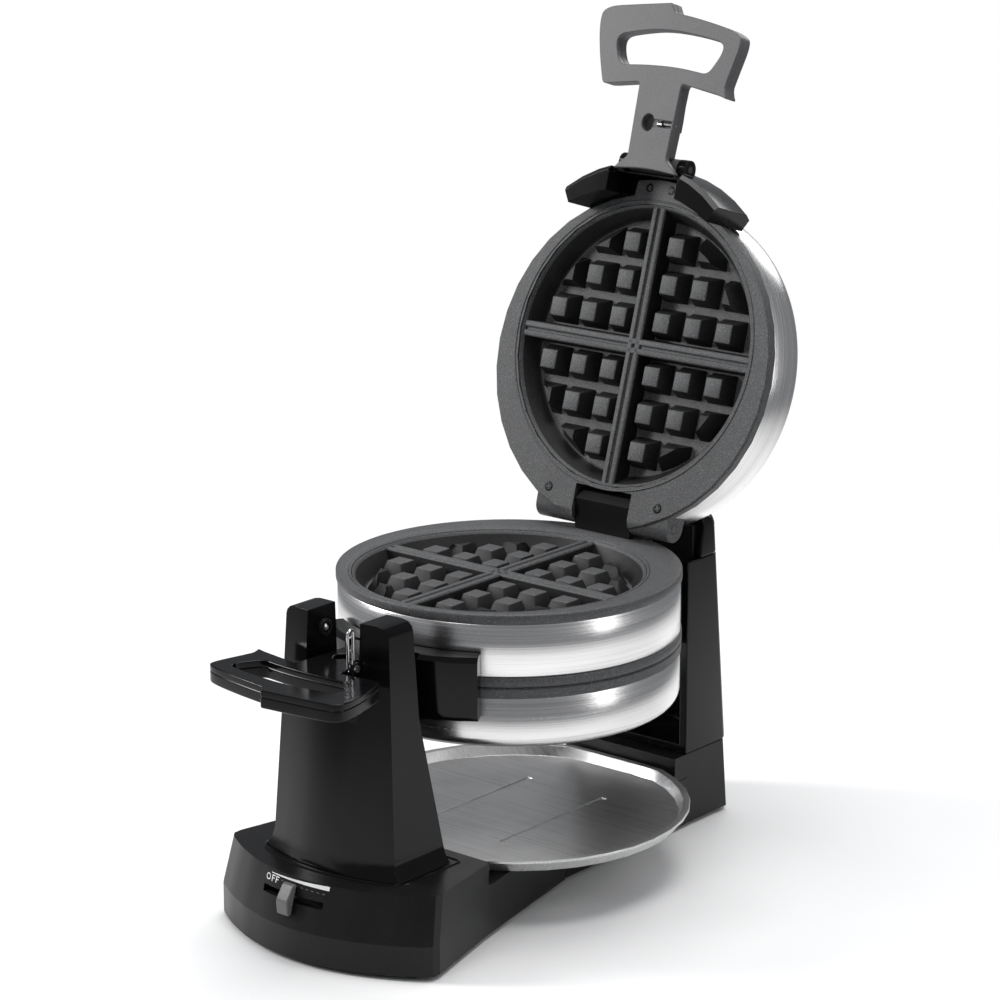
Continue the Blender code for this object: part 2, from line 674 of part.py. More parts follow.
def latch_stud(side):
    start = STEM_HALF_TIP + GAP
    end = LUG_INNER + LUG_THICK + GAP
    head = end + WIRE_RADIUS
    profile = [(0.0, side * start), (STUD_RADIUS, side * start), (STUD_RADIUS, side * end),
               (STUD_HEAD_RADIUS, side * end), (STUD_HEAD_RADIUS, side * head), (0.0, side * head)]
    return turned(profile, SMALL_STEPS, "X", (0.0, LATCH_Y, LATCH_Z))


def latch_wire():
    drop = STUD_RADIUS + GAP + WIRE_RADIUS
    half = WIRE_WIDTH / 2 - WIRE_RADIUS
    top = drop - WIRE_HEIGHT + 2 * WIRE_RADIUS
    outline = rounded([(-half, drop), (half, drop), (half, top), (-half, top)], 2 * WIRE_RADIUS, 3)
    return sweep([(0.0, y, z) for y, z in outline], (1.0, 0.0, 0.0), WIRE_RADIUS, WIRE_SIDES, closed=True)


# Cooking unit parts, in a frame on the flip axis at the housing's centre line
def unit_rim():
    low, high = UNIT_HALF - RIM_THICK, UNIT_HALF
    rim = turned([
        (0.0, low), (FLANGE_RADIUS, low), (FLANGE_RADIUS, high - RIM_EDGE), (FLANGE_RADIUS - RIM_EDGE, high), (0.0, high),
    ])
    return cut(rim, rod(GRID_RADIUS + GAP, low - OVERRUN, high + OVERRUN, "Z", (0.0, -GRID_FORWARD, 0.0), GRID_STEPS))


def middle_band():
    height = UNIT_HALF - RIM_THICK - GAP
    bead = RIM_EDGE / 2
    profile = [
        (BAND_RADIUS, -height), (BAND_RADIUS, -bead), (BAND_RADIUS - bead, 0.0), (BAND_RADIUS, bead), (BAND_RADIUS, height),
        (BAND_RADIUS - BAND_WALL, height), (BAND_RADIUS - BAND_WALL, -height),
    ]
    return turned(profile)


def hinge_block():
    rim_face = UNIT_HALF + GAP
    hinge_z = UNIT_HALF + HINGE_RISE
    inner = FLANGE_RADIUS + GAP
    outer = inner + SPINE_THICK
    top = hinge_z + HINGE_BLOCK_TOP
    chamfer = 2 * HINGE_BLOCK_REACH / 3
    front, back = HINGE_BACK - HINGE_BLOCK_REACH, HINGE_BACK + HINGE_BLOCK_REACH
    half_outline = [
        (outer, 0.0), (outer, UNIT_HALF - chamfer), (inner + chamfer, UNIT_HALF - GAP), (back, hinge_z),
        (back, top - chamfer), (back - chamfer, top), (front + chamfer, top), (front, top - chamfer), (front, rim_face),
        (inner, rim_face), (inner, 0.0),
    ]
    upper = prism(half_outline, -HINGE_BLOCK_HALF, HINGE_BLOCK_HALF, "X")
    lower = prism([(y, -z) for y, z in half_outline], -HINGE_BLOCK_HALF, HINGE_BLOCK_HALF, "X")
    block = fuse(upper, lower)
    for side in (1, -1):
        cut(block, rod(HINGE_PIN_RADIUS + GAP, -EAR_OUTER, EAR_OUTER, "X", (0.0, HINGE_BACK, side * hinge_z)))
    return block


def hinge_pin():
    return rod(HINGE_PIN_RADIUS, -EAR_OUTER, EAR_OUTER, "X")


def rear_axle():
    start = FLANGE_RADIUS + SPINE_THICK + 2 * GAP
    end = BEARING_FRONT + BEARING_DEPTH + OVERRUN
    return turned([
        (0.0, start), (AXLE_FLANGE_RADIUS, start), (AXLE_FLANGE_RADIUS, start + AXLE_FLANGE_THICK),
        (AXLE_RADIUS, start + AXLE_FLANGE_THICK), (AXLE_RADIUS, end), (0.0, end),
    ], ROUND_STEPS, "Y")


# Base: a nose with the sloping control face and the deck, a low bridge under the tray, and the rear foot
def nose_outline(half, reach, corner, back_half, inset):
    half, reach, corner = half - inset, reach - inset, corner - inset
    points = [(-BRIDGE_HALF + inset, KINK_Y), (-back_half + inset, -DECK_BACK), (-half, -corner)]
    steps = 8
    for k in range(1, steps):
        share = 2 * k / steps - 1
        points.append((share * half, -reach + (reach - corner) * share * share))
    points += [(half, -corner), (back_half - inset, -DECK_BACK), (BRIDGE_HALF - inset, KINK_Y)]
    return rounded(points, NOSE_CORNER, 2 if inset == 0 else 1)


def rear_face(height):
    return FOOT_BACK - (FOOT_BACK - REAR_BACK_TOP) * height / REAR_TOP


def base_form(inset):
    bottom = FLOOR_CLEARANCE if inset == 0 else FLOOR_CLEARANCE - OVERRUN
    levels = (
        (bottom, NOSE_HALF, NOSE_REACH, NOSE_CORNER_REACH, SIDE_HALF),
        (NOSE_WALL_HEIGHT, NOSE_HALF, NOSE_REACH, NOSE_CORNER_REACH, SIDE_HALF),
        (DECK_HEIGHT - inset, DECK_HALF, DECK_REACH, DECK_CORNER_REACH, DECK_BACK_HALF),
    )
    nose = loft([
        [(x, y, z) for x, y in nose_outline(half, reach, corner, back_half, inset)]
        for z, half, reach, corner, back_half in levels
    ])
    bridge = box((-BRIDGE_HALF + inset, KINK_Y - NOSE_CORNER, bottom), (BRIDGE_HALF - inset, FOOT_Y + inset, BRIDGE_TOP - inset))
    rear_rings = []
    for z in (bottom, DECK_HEIGHT - inset):
        back = rear_face(z) - inset
        rear_rings.append([(-REAR_HALF + inset, REAR_DECK_Y + inset, z), (REAR_HALF - inset, REAR_DECK_Y + inset, z),
                           (REAR_HALF - inset, back - REAR_ROUNDING, z), (REAR_HALF - inset - REAR_ROUNDING, back, z),
                           (-REAR_HALF + inset + REAR_ROUNDING, back, z), (-REAR_HALF + inset, back - REAR_ROUNDING, z)])
    recess = box((-NOSE_HALF, -DECK_BACK - inset, BRIDGE_TOP - inset), (NOSE_HALF, REAR_DECK_Y + inset, DECK_HEIGHT + OVERRUN))
    cut(nose, recess)
    return fuse(nose, bridge, loft(rear_rings))


def slope_at(height):
    share = (height - NOSE_WALL_HEIGHT) / (DECK_HEIGHT - NOSE_WALL_HEIGHT)
    return -(NOSE_REACH + (DECK_REACH - NOSE_REACH) * share)


SLOT_HEIGHT = (NOSE_WALL_HEIGHT + DECK_HEIGHT) / 2 + KNOB_HALF / 2


def base_housing():
    housing = cut(base_form(0.0), base_form(BASE_WALL))
    slot = box(
        (SLIDER_CENTRE - SLOT_HALF_LENGTH, -NOSE_REACH - OVERRUN, SLOT_HEIGHT - SLOT_HALF_HEIGHT),
        (SLIDER_CENTRE + SLOT_HALF_LENGTH, -DECK_REACH + 4 * BASE_WALL, SLOT_HEIGHT + SLOT_HALF_HEIGHT),
    )
    back = rear_face(INLET_HEIGHT)
    inlet = rod(INLET_RADIUS + GAP, back - 2 * BASE_WALL, back + OVERRUN, "Y", (0.0, 0.0, INLET_HEIGHT), ROUND_STEPS)
    return cut(housing, slot, inlet)


def bottom_cover():
    plate = base_form(BASE_WALL + 2 * GAP)
    top = FLOOR_CLEARANCE + BOTTOM_PLATE
    return combine(plate, box((-NOSE_HALF, -NOSE_REACH, FLOOR_CLEARANCE), (NOSE_HALF, FOOT_BACK, top)), "INTERSECT")


def foot_pad():
    bulge = PAD_HEIGHT / 3
    return turned([(0.0, 0.0), (PAD_RADIUS - bulge, 0.0), (PAD_RADIUS, bulge), (PAD_RADIUS, PAD_HEIGHT - GAP),
                   (0.0, PAD_HEIGHT - GAP)], ROUND_STEPS)


def thermostat():
    low = FLOOR_CLEARANCE + BOTTOM_PLATE + GAP
    front = -DECK_REACH + 4 * BASE_WALL
    top = SLOT_HEIGHT + SLOT_HALF_HEIGHT
    case = box((SLIDER_CENTRE - CONTROL_LENGTH / 2, front, low),
               (SLIDER_CENTRE + CONTROL_LENGTH / 2, front + CONTROL_DEPTH, top))
    track = box((SLIDER_CENTRE - SLOT_HALF_LENGTH, front - OVERRUN, SLOT_HEIGHT - LEVER_HALF - GAP),
                (SLIDER_CENTRE + SLOT_HALF_LENGTH, front + CONTROL_DEPTH / 2, SLOT_HEIGHT + LEVER_HALF + GAP))
    return cut(case, track)


# Temperature slider: a rounded finger piece outside the slope, its flat lever through the slot
def slider_knob():
    low, high = SLOT_HEIGHT - KNOB_HEIGHT / 2, SLOT_HEIGHT + KNOB_HEIGHT / 2
    outline = rounded([
        (slope_at(low) - 2 * GAP, low), (slope_at(low) - KNOB_STAND / 2, low), (slope_at(SLOT_HEIGHT) - KNOB_STAND, SLOT_HEIGHT),
        (slope_at(high) - KNOB_STAND / 2, high), (slope_at(high) - 2 * GAP, high),
    ], KNOB_HALF / 3, 2)
    knob = prism(outline, -KNOB_HALF, KNOB_HALF, "X")
    lever_end = -DECK_REACH + 4 * BASE_WALL + CONTROL_DEPTH / 2 - GAP
    lever = box((-LEVER_HALF, slope_at(SLOT_HEIGHT) - KNOB_STAND / 2, SLOT_HEIGHT - LEVER_HALF),
                (LEVER_HALF, lever_end, SLOT_HEIGHT + LEVER_HALF))
    return fuse(knob, lever)


def mains_inlet():
    back = rear_face(INLET_HEIGHT)
    start = back - INLET_LENGTH
    return turned([
        (0.0, start), (INLET_RADIUS, start), (INLET_RADIUS, back + INLET_COLLAR),
        (INLET_RADIUS + INLET_COLLAR, back + INLET_COLLAR), (INLET_RADIUS, back + 2 * INLET_COLLAR),
        (0.0, back + 2 * INLET_COLLAR),
    ], ROUND_STEPS, "Y", (0.0, 0.0, INLET_HEIGHT))


# Front pillar: a tapering post with a convex front and a round-bottomed notch between two horns
def pillar_ring(z, half, rear, corner, bulge):
    steps = 8
    points = [(-half, -rear, z), (-half, -corner, z)]
    for k in range(1, steps):
        share = 2 * k / steps - 1
        points.append((share * half, -corner - bulge * (1 - share * share), z))
    return points + [(half, -corner, z), (half, -rear, z)]


def front_pillar():
    foot = DECK_HEIGHT + GAP
    flare = PILLAR_FLARE
    foot_corner, top_corner = PILLAR_REAR_FOOT + PILLAR_DEPTH_FOOT, PILLAR_REAR_TOP + PILLAR_DEPTH_TOP
    waist = FLIP_HEIGHT - PILLAR_WAIST_DROP
    waist_half = PILLAR_HALF_TOP + (PILLAR_HALF_FOOT - PILLAR_HALF_TOP) * (PILLAR_TOP - waist) / (PILLAR_TOP - foot)
    post = loft([
        pillar_ring(foot, PILLAR_HALF_FOOT + flare, PILLAR_REAR_FOOT, foot_corner + flare / 3, PILLAR_BULGE),
        pillar_ring(foot + flare, PILLAR_HALF_FOOT + flare / 4, PILLAR_REAR_FOOT, foot_corner + flare / 6, PILLAR_BULGE),
        pillar_ring(foot + 2 * flare, PILLAR_HALF_FOOT, PILLAR_REAR_FOOT, foot_corner, PILLAR_BULGE),
        pillar_ring(waist, waist_half, PILLAR_REAR_WAIST, PILLAR_REAR_WAIST + PILLAR_DEPTH_WAIST, PILLAR_BULGE / 2),
        pillar_ring(PILLAR_TOP, PILLAR_HALF_TOP, PILLAR_REAR_TOP, top_corner, PILLAR_BULGE / 3),
    ])
    side = PILLAR_HALF_FOOT + flare + OVERRUN
    reach = PILLAR_REAR_FOOT + 2 * PILLAR_DEPTH_FOOT
    crown = rounded([(-PILLAR_HALF_TOP, PILLAR_TOP), (PILLAR_HALF_TOP, PILLAR_TOP), (side, foot), (-side, foot)], PILLAR_CORNER)
    crown = [(x, z) for x, z in crown if z > foot + PILLAR_CORNER] + [(side, foot - OVERRUN), (-side, foot - OVERRUN)]
    combine(post, prism(crown, -reach, -HINGE_BACK, "Y"), "INTERSECT")
    floor = FLIP_HEIGHT - NOTCH_FLOOR
    corners = [(-NOTCH_HALF, PILLAR_TOP), (-NOTCH_HALF, floor), (NOTCH_HALF, floor), (NOTCH_HALF, PILLAR_TOP)]
    notch = [(x, z) for x, z in rounded(corners, NOTCH_ROUNDING) if z < floor + 2 * NOTCH_ROUNDING]
    notch += [(NOTCH_HALF, PILLAR_TOP + OVERRUN), (-NOTCH_HALF, PILLAR_TOP + OVERRUN)]
    cut(post, prism(notch, -reach, -HINGE_BACK, "Y"))
    depth = 2 * PILLAR_WALL
    seat = rod(REST_BOSS_RADIUS + GAP, -NOTCH_HALF - depth, 0.0, "X", (0.0, -REST_BALL_OUT, REST_BALL_HEIGHT))
    return cut(post, seat)


def rest_boss():
    low, high = -NOTCH_HALF - 2 * PILLAR_WALL + GAP, -NOTCH_HALF + REST_BALL_RADIUS / 2
    place = (0.0, -REST_BALL_OUT, REST_BALL_HEIGHT)
    boss = turned([(0.0, low), (REST_BOSS_RADIUS, low), (REST_BOSS_RADIUS, high - RIM_EDGE),
                   (REST_BOSS_RADIUS - RIM_EDGE, high), (0.0, high)], SMALL_STEPS, "X", place)
    return cut(boss, rod(REST_BALL_RADIUS + GAP, high - 2 * REST_BALL_RADIUS, high + OVERRUN, "X", place))


def rest_ball():
    high = -NOTCH_HALF + REST_BALL_RADIUS / 2
    return ball(REST_BALL_RADIUS, (high - REST_BALL_RADIUS + 2 * GAP, -REST_BALL_OUT, REST_BALL_HEIGHT))


# Rear pillar: a channel open to the front, with the bearing block inside and a cap on top
def channel_ring(z, front, inset):
    half, back, corner = REAR_HALF - inset, rear_face(z) - inset, max(REAR_ROUNDING - inset, GAP)
    return [(-half, front, z), (half, front, z), (half, back - corner, z), (half - corner / 3, back - corner / 3, z),
            (half - corner, back, z), (-half + corner, back, z), (-half + corner / 3, back - corner / 3, z),
            (-half, back - corner, z)]


def rear_pillar():
    low, high = DECK_HEIGHT + GAP, REAR_SEAM - GAP
    post = loft([channel_ring(low, REAR_FRONT, 0.0), channel_ring(high, REAR_FRONT, 0.0)])
    inside = loft([channel_ring(low + REAR_WALL, REAR_FRONT - OVERRUN, REAR_WALL),
                   channel_ring(high + OVERRUN, REAR_FRONT - OVERRUN, REAR_WALL)])
    return cut(post, inside)


def rear_pillar_cap():
    low, high = REAR_SEAM, REAR_TOP
    slope = REAR_ROUNDING
    rings = [channel_ring(low, CAP_FRONT_LOW, 0.0), channel_ring(high - slope, CAP_FRONT_HIGH, 0.0)]
    for angle in (math.pi / 6, math.pi / 3, math.pi / 2):
        rise, draw = slope * math.sin(angle), slope * (1 - math.cos(angle))
        rings.append([(x - math.copysign(min(draw, abs(x)), x), y - draw * (y > CAP_FRONT_HIGH), high - slope + rise)
                      for x, y, z in channel_ring(high - slope, CAP_FRONT_HIGH, 0.0)])
    cap = loft(rings)
    inside = loft([channel_ring(low - OVERRUN, CAP_FRONT_LOW - REAR_WALL, REAR_WALL),
                   channel_ring(high - REAR_WALL, CAP_FRONT_LOW - REAR_WALL, REAR_WALL)])
    return cut(cap, inside)


def bearing_block():
    half = REAR_HALF - REAR_WALL - GAP
    back = BEARING_FRONT + BEARING_DEPTH
    block = box((-half, BEARING_FRONT, FLIP_HEIGHT - BEARING_HALF_HEIGHT), (half, back, FLIP_HEIGHT + BEARING_HALF_HEIGHT))
    hole = AXLE_RADIUS + BUSH_WALL + 2 * GAP
    return cut(block, rod(hole, BEARING_FRONT - OVERRUN, back + OVERRUN, "Y", (0.0, 0.0, FLIP_HEIGHT), ROUND_STEPS))


def bearing_bush():
    low, high = BEARING_FRONT - GAP, BEARING_FRONT + BEARING_DEPTH + GAP
    inner, outer = AXLE_RADIUS + GAP, AXLE_RADIUS + GAP + BUSH_WALL
    return turned([(inner, low), (outer, low), (outer, high), (inner, high)], ROUND_STEPS, "Y", (0.0, 0.0, FLIP_HEIGHT))


# Drip tray: a shallow round dish with a straight back edge and two long grooves
def tray_outline(inset):
    radius, back = TRAY_RADIUS - inset, TRAY_REAR_Y - inset
    points = []
    for k in range(FINE_STEPS):
        angle = math.tau * k / FINE_STEPS
        points.append((radius * math.sin(angle), min(TRAY_Y - radius * math.cos(angle), back)))
    return points


def drip_tray():
    low = BRIDGE_TOP + GAP
    floor = low + TRAY_WALL
    outer = loft([[(x, y, z) for x, y in tray_outline(inset)] for z, inset in
                  ((low, TRAY_DRAFT), (TRAY_RIM - TRAY_WALL, TRAY_WALL), (TRAY_RIM - TRAY_WALL, 0.0), (TRAY_RIM, 0.0))])
    inner = loft([[(x, y, z) for x, y in tray_outline(inset)] for z, inset in
                  ((floor, TRAY_DRAFT + TRAY_WALL), (TRAY_RIM + OVERRUN, 2 * TRAY_WALL))])
    tray = cut(outer, inner)
    for side in (-1, 1):
        middle = side * TRAY_GROOVE_SIDE
        cut(tray, box((middle - TRAY_GROOVE_HALF, -TRAY_GROOVE_FRONT, floor - TRAY_GROOVE_DEPTH),
                      (middle + TRAY_GROOVE_HALF, TRAY_GROOVE_BACK, floor + OVERRUN)))
    return tray


# Assembly
def assemble():
    black = paint("black_moulding", (0.012, 0.012, 0.013), 0.42)
    gloss = paint("gloss_moulding", (0.01, 0.01, 0.011), 0.22)
    coated = paint("coated_plate", (0.03, 0.03, 0.032), 0.38, 0.2)
    steel = paint("brushed_steel", (0.62, 0.61, 0.6), 0.3, 1.0)
    bright = paint("bright_pin", (0.75, 0.75, 0.76), 0.14, 1.0)
    tube = paint("element_tube", (0.2, 0.2, 0.21), 0.5, 0.8)
    rubber = paint("rubber", (0.02, 0.02, 0.02), 0.85)
    brass = paint("bearing_metal", (0.6, 0.42, 0.2), 0.35, 1.0)

    base = body("base", (0.0, HOUSING_Y, 0.0))
    finish(base_housing(), "base_housing", black, base)
    finish(bottom_cover(), "base_bottom_cover", black, base)
    pad = finish(foot_pad(), "foot_front_left", rubber, base)
    pad.location = (-PAD_FRONT_SIDE, -PAD_FRONT_OUT, 0.0)
    for name, x, y in (("foot_front_right", PAD_FRONT_SIDE, -PAD_FRONT_OUT),
                       ("foot_rear_left", -PAD_REAR_SIDE, PAD_REAR_OUT), ("foot_rear_right", PAD_REAR_SIDE, PAD_REAR_OUT)):
        copy_of(pad, name, base, (x, y, 0.0))
    finish(thermostat(), "thermostat", tube, base)
    finish(mains_inlet(), "mains_inlet", rubber, base)
    finish(front_pillar(), "front_pillar", black, base)
    finish(rest_boss(), "rest_boss", black, base)
    finish(rest_ball(), "rest_ball", bright, base)
    finish(rear_pillar(), "rear_pillar", gloss, base)
    finish(rear_pillar_cap(), "rear_pillar_cap", gloss, base)
    finish(bearing_block(), "bearing_block", black, base)
    finish(bearing_bush(), "bearing_bush", brass, base)

    slider = body("slider", (-SLIDER_REST, 0.0, 0.0), base)
    finish(slider_knob(), "slider_knob", steel, slider)
    tray = body("tray", (0.0, 0.0, 0.0), base)
    finish(drip_tray(), "drip_tray", gloss, tray)

    unit = body("unit", (0.0, 0.0, FLIP_HEIGHT), base)
    finish(middle_band(), "middle_band", steel, unit)
    finish(hinge_block(), "hinge_block", black, unit)
    finish(rear_axle(), "rear_axle", bright, unit)
    over = (0.0, math.pi, 0.0)
    rim = finish(unit_rim(), "upper_rim", coated, unit)
    copy_of(rim, "lower_rim", unit, turn=over)
    grid = finish(waffle_grid(), "unit_upper_grid", coated, unit)
    grid.location = (0.0, -GRID_FORWARD, UNIT_HALF)
    copy_of(grid, "unit_lower_grid", unit, (0.0, -GRID_FORWARD, -UNIT_HALF), over)
    under_plate = RIB_DROP + GRID_DEPTH + GRID_PLATE + GAP + ELEMENT_THICK / 2
    element = finish(heating_element(), "unit_upper_element", tube, unit)
    element.location = (0.0, -GRID_FORWARD, UNIT_HALF - under_plate)
    copy_of(element, "unit_lower_element", unit, (0.0, -GRID_FORWARD, -UNIT_HALF + under_plate), over)
    hinge_z = UNIT_HALF + HINGE_RISE
    pin = finish(hinge_pin(), "upper_hinge_pin", bright, unit)
    pin.location = (0.0, HINGE_BACK, hinge_z)
    copy_of(pin, "lower_hinge_pin", unit, (0.0, HINGE_BACK, -hinge_z))

    flange, shell, strap, cross_pin = lid_flange(), lid_shell(), bracket(), handle_pin()
    lids = (("upper", (0.0, HINGE_BACK, hinge_z), (-LID_OPEN_ANGLE, 0.0, 0.0)),
            ("lower", (0.0, HINGE_BACK, -hinge_z), over))
    for name, place, turn in lids:
        lid = body(name + "_lid", place, unit, turn)
        if name == "upper":
            finish(flange, "upper_lid_flange", coated, lid)
            finish(shell, "upper_lid_shell", steel, lid)
            finish(strap, "upper_bracket", gloss, lid)
            finish(cross_pin, "upper_handle_pin", bright, lid)
        else:
            copy_of(flange, "lower_lid_flange", lid)
            copy_of(shell, "lower_lid_shell", lid)
            copy_of(strap, "lower_bracket", lid)
            copy_of(cross_pin, "lower_handle_pin", lid)
        pin_place = (0.0, -HINGE_BACK - HANDLE_PIN_OUT, -HANDLE_PIN_SIDE)
        bpy.data.objects[name + "_handle_pin"].location = pin_place
        copy_of(grid, name + "_lid_grid", lid, (0.0, -HINGE_BACK - GRID_FORWARD, LID_FACE), over)
        copy_of(element, name + "_lid_element", lid, (0.0, -HINGE_BACK - GRID_FORWARD, LID_FACE + under_plate), over)
        handle = body(name + "_grip", pin_place, lid)
        side = 1 if name == "upper" else -1
        moulding = handle_with_catch(side)
        if name == "upper":
            finish(catch_pin(side), "catch_pin", bright, handle)
        else:
            add_lug(moulding, side)
            finish(latch_stud(side), "latch_stud", bright, handle)
            latch = body("latch", (side * WIRE_SIDE, LATCH_Y, LATCH_Z), handle)
            finish(latch_wire(), "latch_wire", bright, latch)
        finish(moulding, name + "_handle", black, handle)


for old in list(bpy.data.objects):
    bpy.data.objects.remove(old)
assemble()
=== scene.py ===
import math

import bmesh
import bpy
from mathutils import Matrix, Vector


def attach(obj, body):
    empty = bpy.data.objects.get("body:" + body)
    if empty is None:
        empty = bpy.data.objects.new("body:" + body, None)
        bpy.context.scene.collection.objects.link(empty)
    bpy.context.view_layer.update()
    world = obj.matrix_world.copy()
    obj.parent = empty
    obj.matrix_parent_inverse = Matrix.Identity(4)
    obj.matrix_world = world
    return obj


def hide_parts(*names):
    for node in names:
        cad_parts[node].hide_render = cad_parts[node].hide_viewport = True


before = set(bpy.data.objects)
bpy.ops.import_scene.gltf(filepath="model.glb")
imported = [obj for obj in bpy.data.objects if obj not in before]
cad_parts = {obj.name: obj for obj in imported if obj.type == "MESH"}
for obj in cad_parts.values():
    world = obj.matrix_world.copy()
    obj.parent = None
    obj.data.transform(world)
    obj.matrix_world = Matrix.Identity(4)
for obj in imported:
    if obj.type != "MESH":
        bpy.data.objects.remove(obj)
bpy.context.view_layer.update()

# Main places of the object in metres, on the frame's axes: X to the right, Y to the back, Z up
HOUSING = Vector((0.0, 0.0216, 0.1837))
HINGE_Y = 0.1256
UPPER_HINGE_Z = 0.2182
LOWER_HINGE_Z = 0.1492
LID_TILT = math.radians(107)
FLANGE_RADIUS = 0.112
FLANGE_THICK = 0.0065
UNIT_HALF = 0.0235
RIM_THICK = 0.0062
GRID_RADIUS = 0.095
GRID_SHIFT = 0.01015
LID_DEPTH = 0.0412


# Shader sums written as plain arithmetic on a material's own node tree
class Signal:
    def __init__(self, surface, socket):
        self.surface, self.socket = surface, socket

    def sum(self, operation, *others):
        node = self.surface.node("ShaderNodeMath")
        node.operation = operation
        for pin, value in zip(node.inputs, (self, *others)):
            self.surface.feed(pin, value)
        return Signal(self.surface, node.outputs[0])

    def __add__(self, other):
        return self.sum("ADD", other)

    def __sub__(self, other):
        return self.sum("SUBTRACT", other)

    def __mul__(self, other):
        return self.sum("MULTIPLY", other)

    def __truediv__(self, other):
        return self.sum("DIVIDE", other)

    def root(self):
        return self.sum("SQRT")

    def ramp(self, low, high):
        node = self.surface.node("ShaderNodeMapRange")
        node.interpolation_type = "SMOOTHSTEP"
        self.surface.feed(node.inputs["Value"], self)
        node.inputs["From Min"].default_value, node.inputs["From Max"].default_value = low, high
        return Signal(self.surface, node.outputs["Result"])


# One procedural material: constants on the shader itself, patterns from Object coordinates
class Surface:
    def __init__(self, name, colour, roughness, metallic=0.0, gloss=0.5):
        self.material = bpy.data.materials.new(name)
        self.material.use_nodes = True
        self.tree = self.material.node_tree
        self.shader = self.tree.nodes["Principled BSDF"]
        self.shader.inputs["Base Color"].default_value = (*colour, 1.0)
        self.shader.inputs["Roughness"].default_value = roughness
        self.shader.inputs["Metallic"].default_value = metallic
        self.shader.inputs["Specular IOR Level"].default_value = gloss
        split = self.node("ShaderNodeSeparateXYZ")
        self.tree.links.new(self.node("ShaderNodeTexCoord").outputs["Object"], split.inputs[0])
        self.place = [Signal(self, pin) for pin in split.outputs]

    def node(self, kind):
        return self.tree.nodes.new(kind)

    def feed(self, pin, value):
        if isinstance(value, Signal):
            self.tree.links.new(value.socket, pin)
        else:
            pin.default_value = value

    def along(self, axis):
        x, y, z = (part * share for part, share in zip(self.place, axis))
        return x + y + z

    def away(self, centre, axis):
        offsets = [part - middle for part, middle in zip(self.place, centre)]
        height = offsets[0] * axis[0] + offsets[1] * axis[1] + offsets[2] * axis[2]
        parts = [part - height * share for part, share in zip(offsets, axis)]
        return (parts[0] * parts[0] + parts[1] * parts[1] + parts[2] * parts[2]).root()

    def noise(self, coordinates, scale, detail=3.0, kind="ShaderNodeTexNoise"):
        join = self.node("ShaderNodeCombineXYZ")
        for pin, value in zip(join.inputs, coordinates):
            self.feed(pin, value)
        noise = self.node(kind)
        self.tree.links.new(join.outputs[0], noise.inputs["Vector"])
        noise.inputs["Scale"].default_value = scale
        noise.inputs["Detail"].default_value = detail
        return Signal(self, noise.outputs[0])

    def colours(self, factor, *stops):
        ramp = self.node("ShaderNodeValToRGB")
        self.feed(ramp.inputs["Fac"], factor)
        for k, (place, colour) in enumerate(stops):
            stop = ramp.color_ramp.elements[k] if k < 2 else ramp.color_ramp.elements.new(place)
            stop.position, stop.color = place, (*colour, 1.0)
        self.tree.links.new(ramp.outputs["Color"], self.shader.inputs["Base Color"])

    def rough(self, factor, low, high):
        self.feed(self.shader.inputs["Roughness"], factor * (high - low) + low)

    def bump(self, height, distance, strength=1.0):
        bump = self.node("ShaderNodeBump")
        bump.inputs["Strength"].default_value = strength
        bump.inputs["Distance"].default_value = distance
        self.feed(bump.inputs["Height"], height)
        self.tree.links.new(bump.outputs["Normal"], self.shader.inputs["Normal"])


# Fixed points and directions of the lids: hinge corner, way along the lid, way out of the cooking face
UPPER_LID = (
    Vector((0.0, HINGE_Y, UPPER_HINGE_Z)),
    Vector((0.0, -math.cos(LID_TILT), math.sin(LID_TILT))),
    Vector((0.0, -math.sin(LID_TILT), -math.cos(LID_TILT))),
)
LOWER_LID = (Vector((0.0, HINGE_Y, LOWER_HINGE_Z)), Vector((0.0, -1.0, 0.0)), Vector((0.0, 0.0, 1.0)))
LID_MIDDLE = 0.104
GRID_MIDDLE = LID_MIDDLE + GRID_SHIFT
FACE_SET = 0.011


def lid_frame(lid, along=0.0, out=0.0):
    corner, forward, outward = lid
    across = forward.cross(outward)
    turn = Matrix((across, forward, outward)).transposed().to_4x4()
    return Matrix.Translation(corner + forward * along + outward * out) @ turn


# Materials of the object, each with its own grain
def coated_surface(name, dark, middle, light):
    made = Surface(name, middle, 0.5, gloss=0.35)
    speck = made.noise(made.place, 1500.0, 2.0)
    cloud = made.noise(made.place, 60.0)
    made.colours(speck, (0.3, dark), (0.55, middle), (0.8, light))
    made.rough(speck * 0.6 + cloud * 0.4, 0.34, 0.66)
    made.bump(speck, 0.00022, 0.7)
    return made.material


def moulded_surface(name, low, high, rough_low, rough_high, grain, gloss=0.3):
    made = Surface(name, high, rough_high, gloss=gloss)
    speck = made.noise(made.place, 900.0, 2.0)
    cloud = made.noise(made.place, 22.0)
    made.colours(speck * 0.5 + cloud * 0.5, (0.35, low), (0.65, high))
    made.rough(cloud, rough_low, rough_high)
    made.bump(speck, grain, 0.5)
    return made.material


def gloss_surface():
    made = Surface("gloss_moulding_rich", (0.004, 0.004, 0.0045), 0.14, gloss=0.22)
    cloud = made.noise(made.place, 16.0)
    fine = made.noise(made.place, 420.0, 2.0)
    made.colours(cloud, (0.3, (0.002, 0.002, 0.0023)), (0.7, (0.005, 0.005, 0.0055)))
    made.rough(cloud * 0.7 + fine * 0.3, 0.07, 0.19)
    made.bump(fine, 0.00003, 0.35)
    return made.material


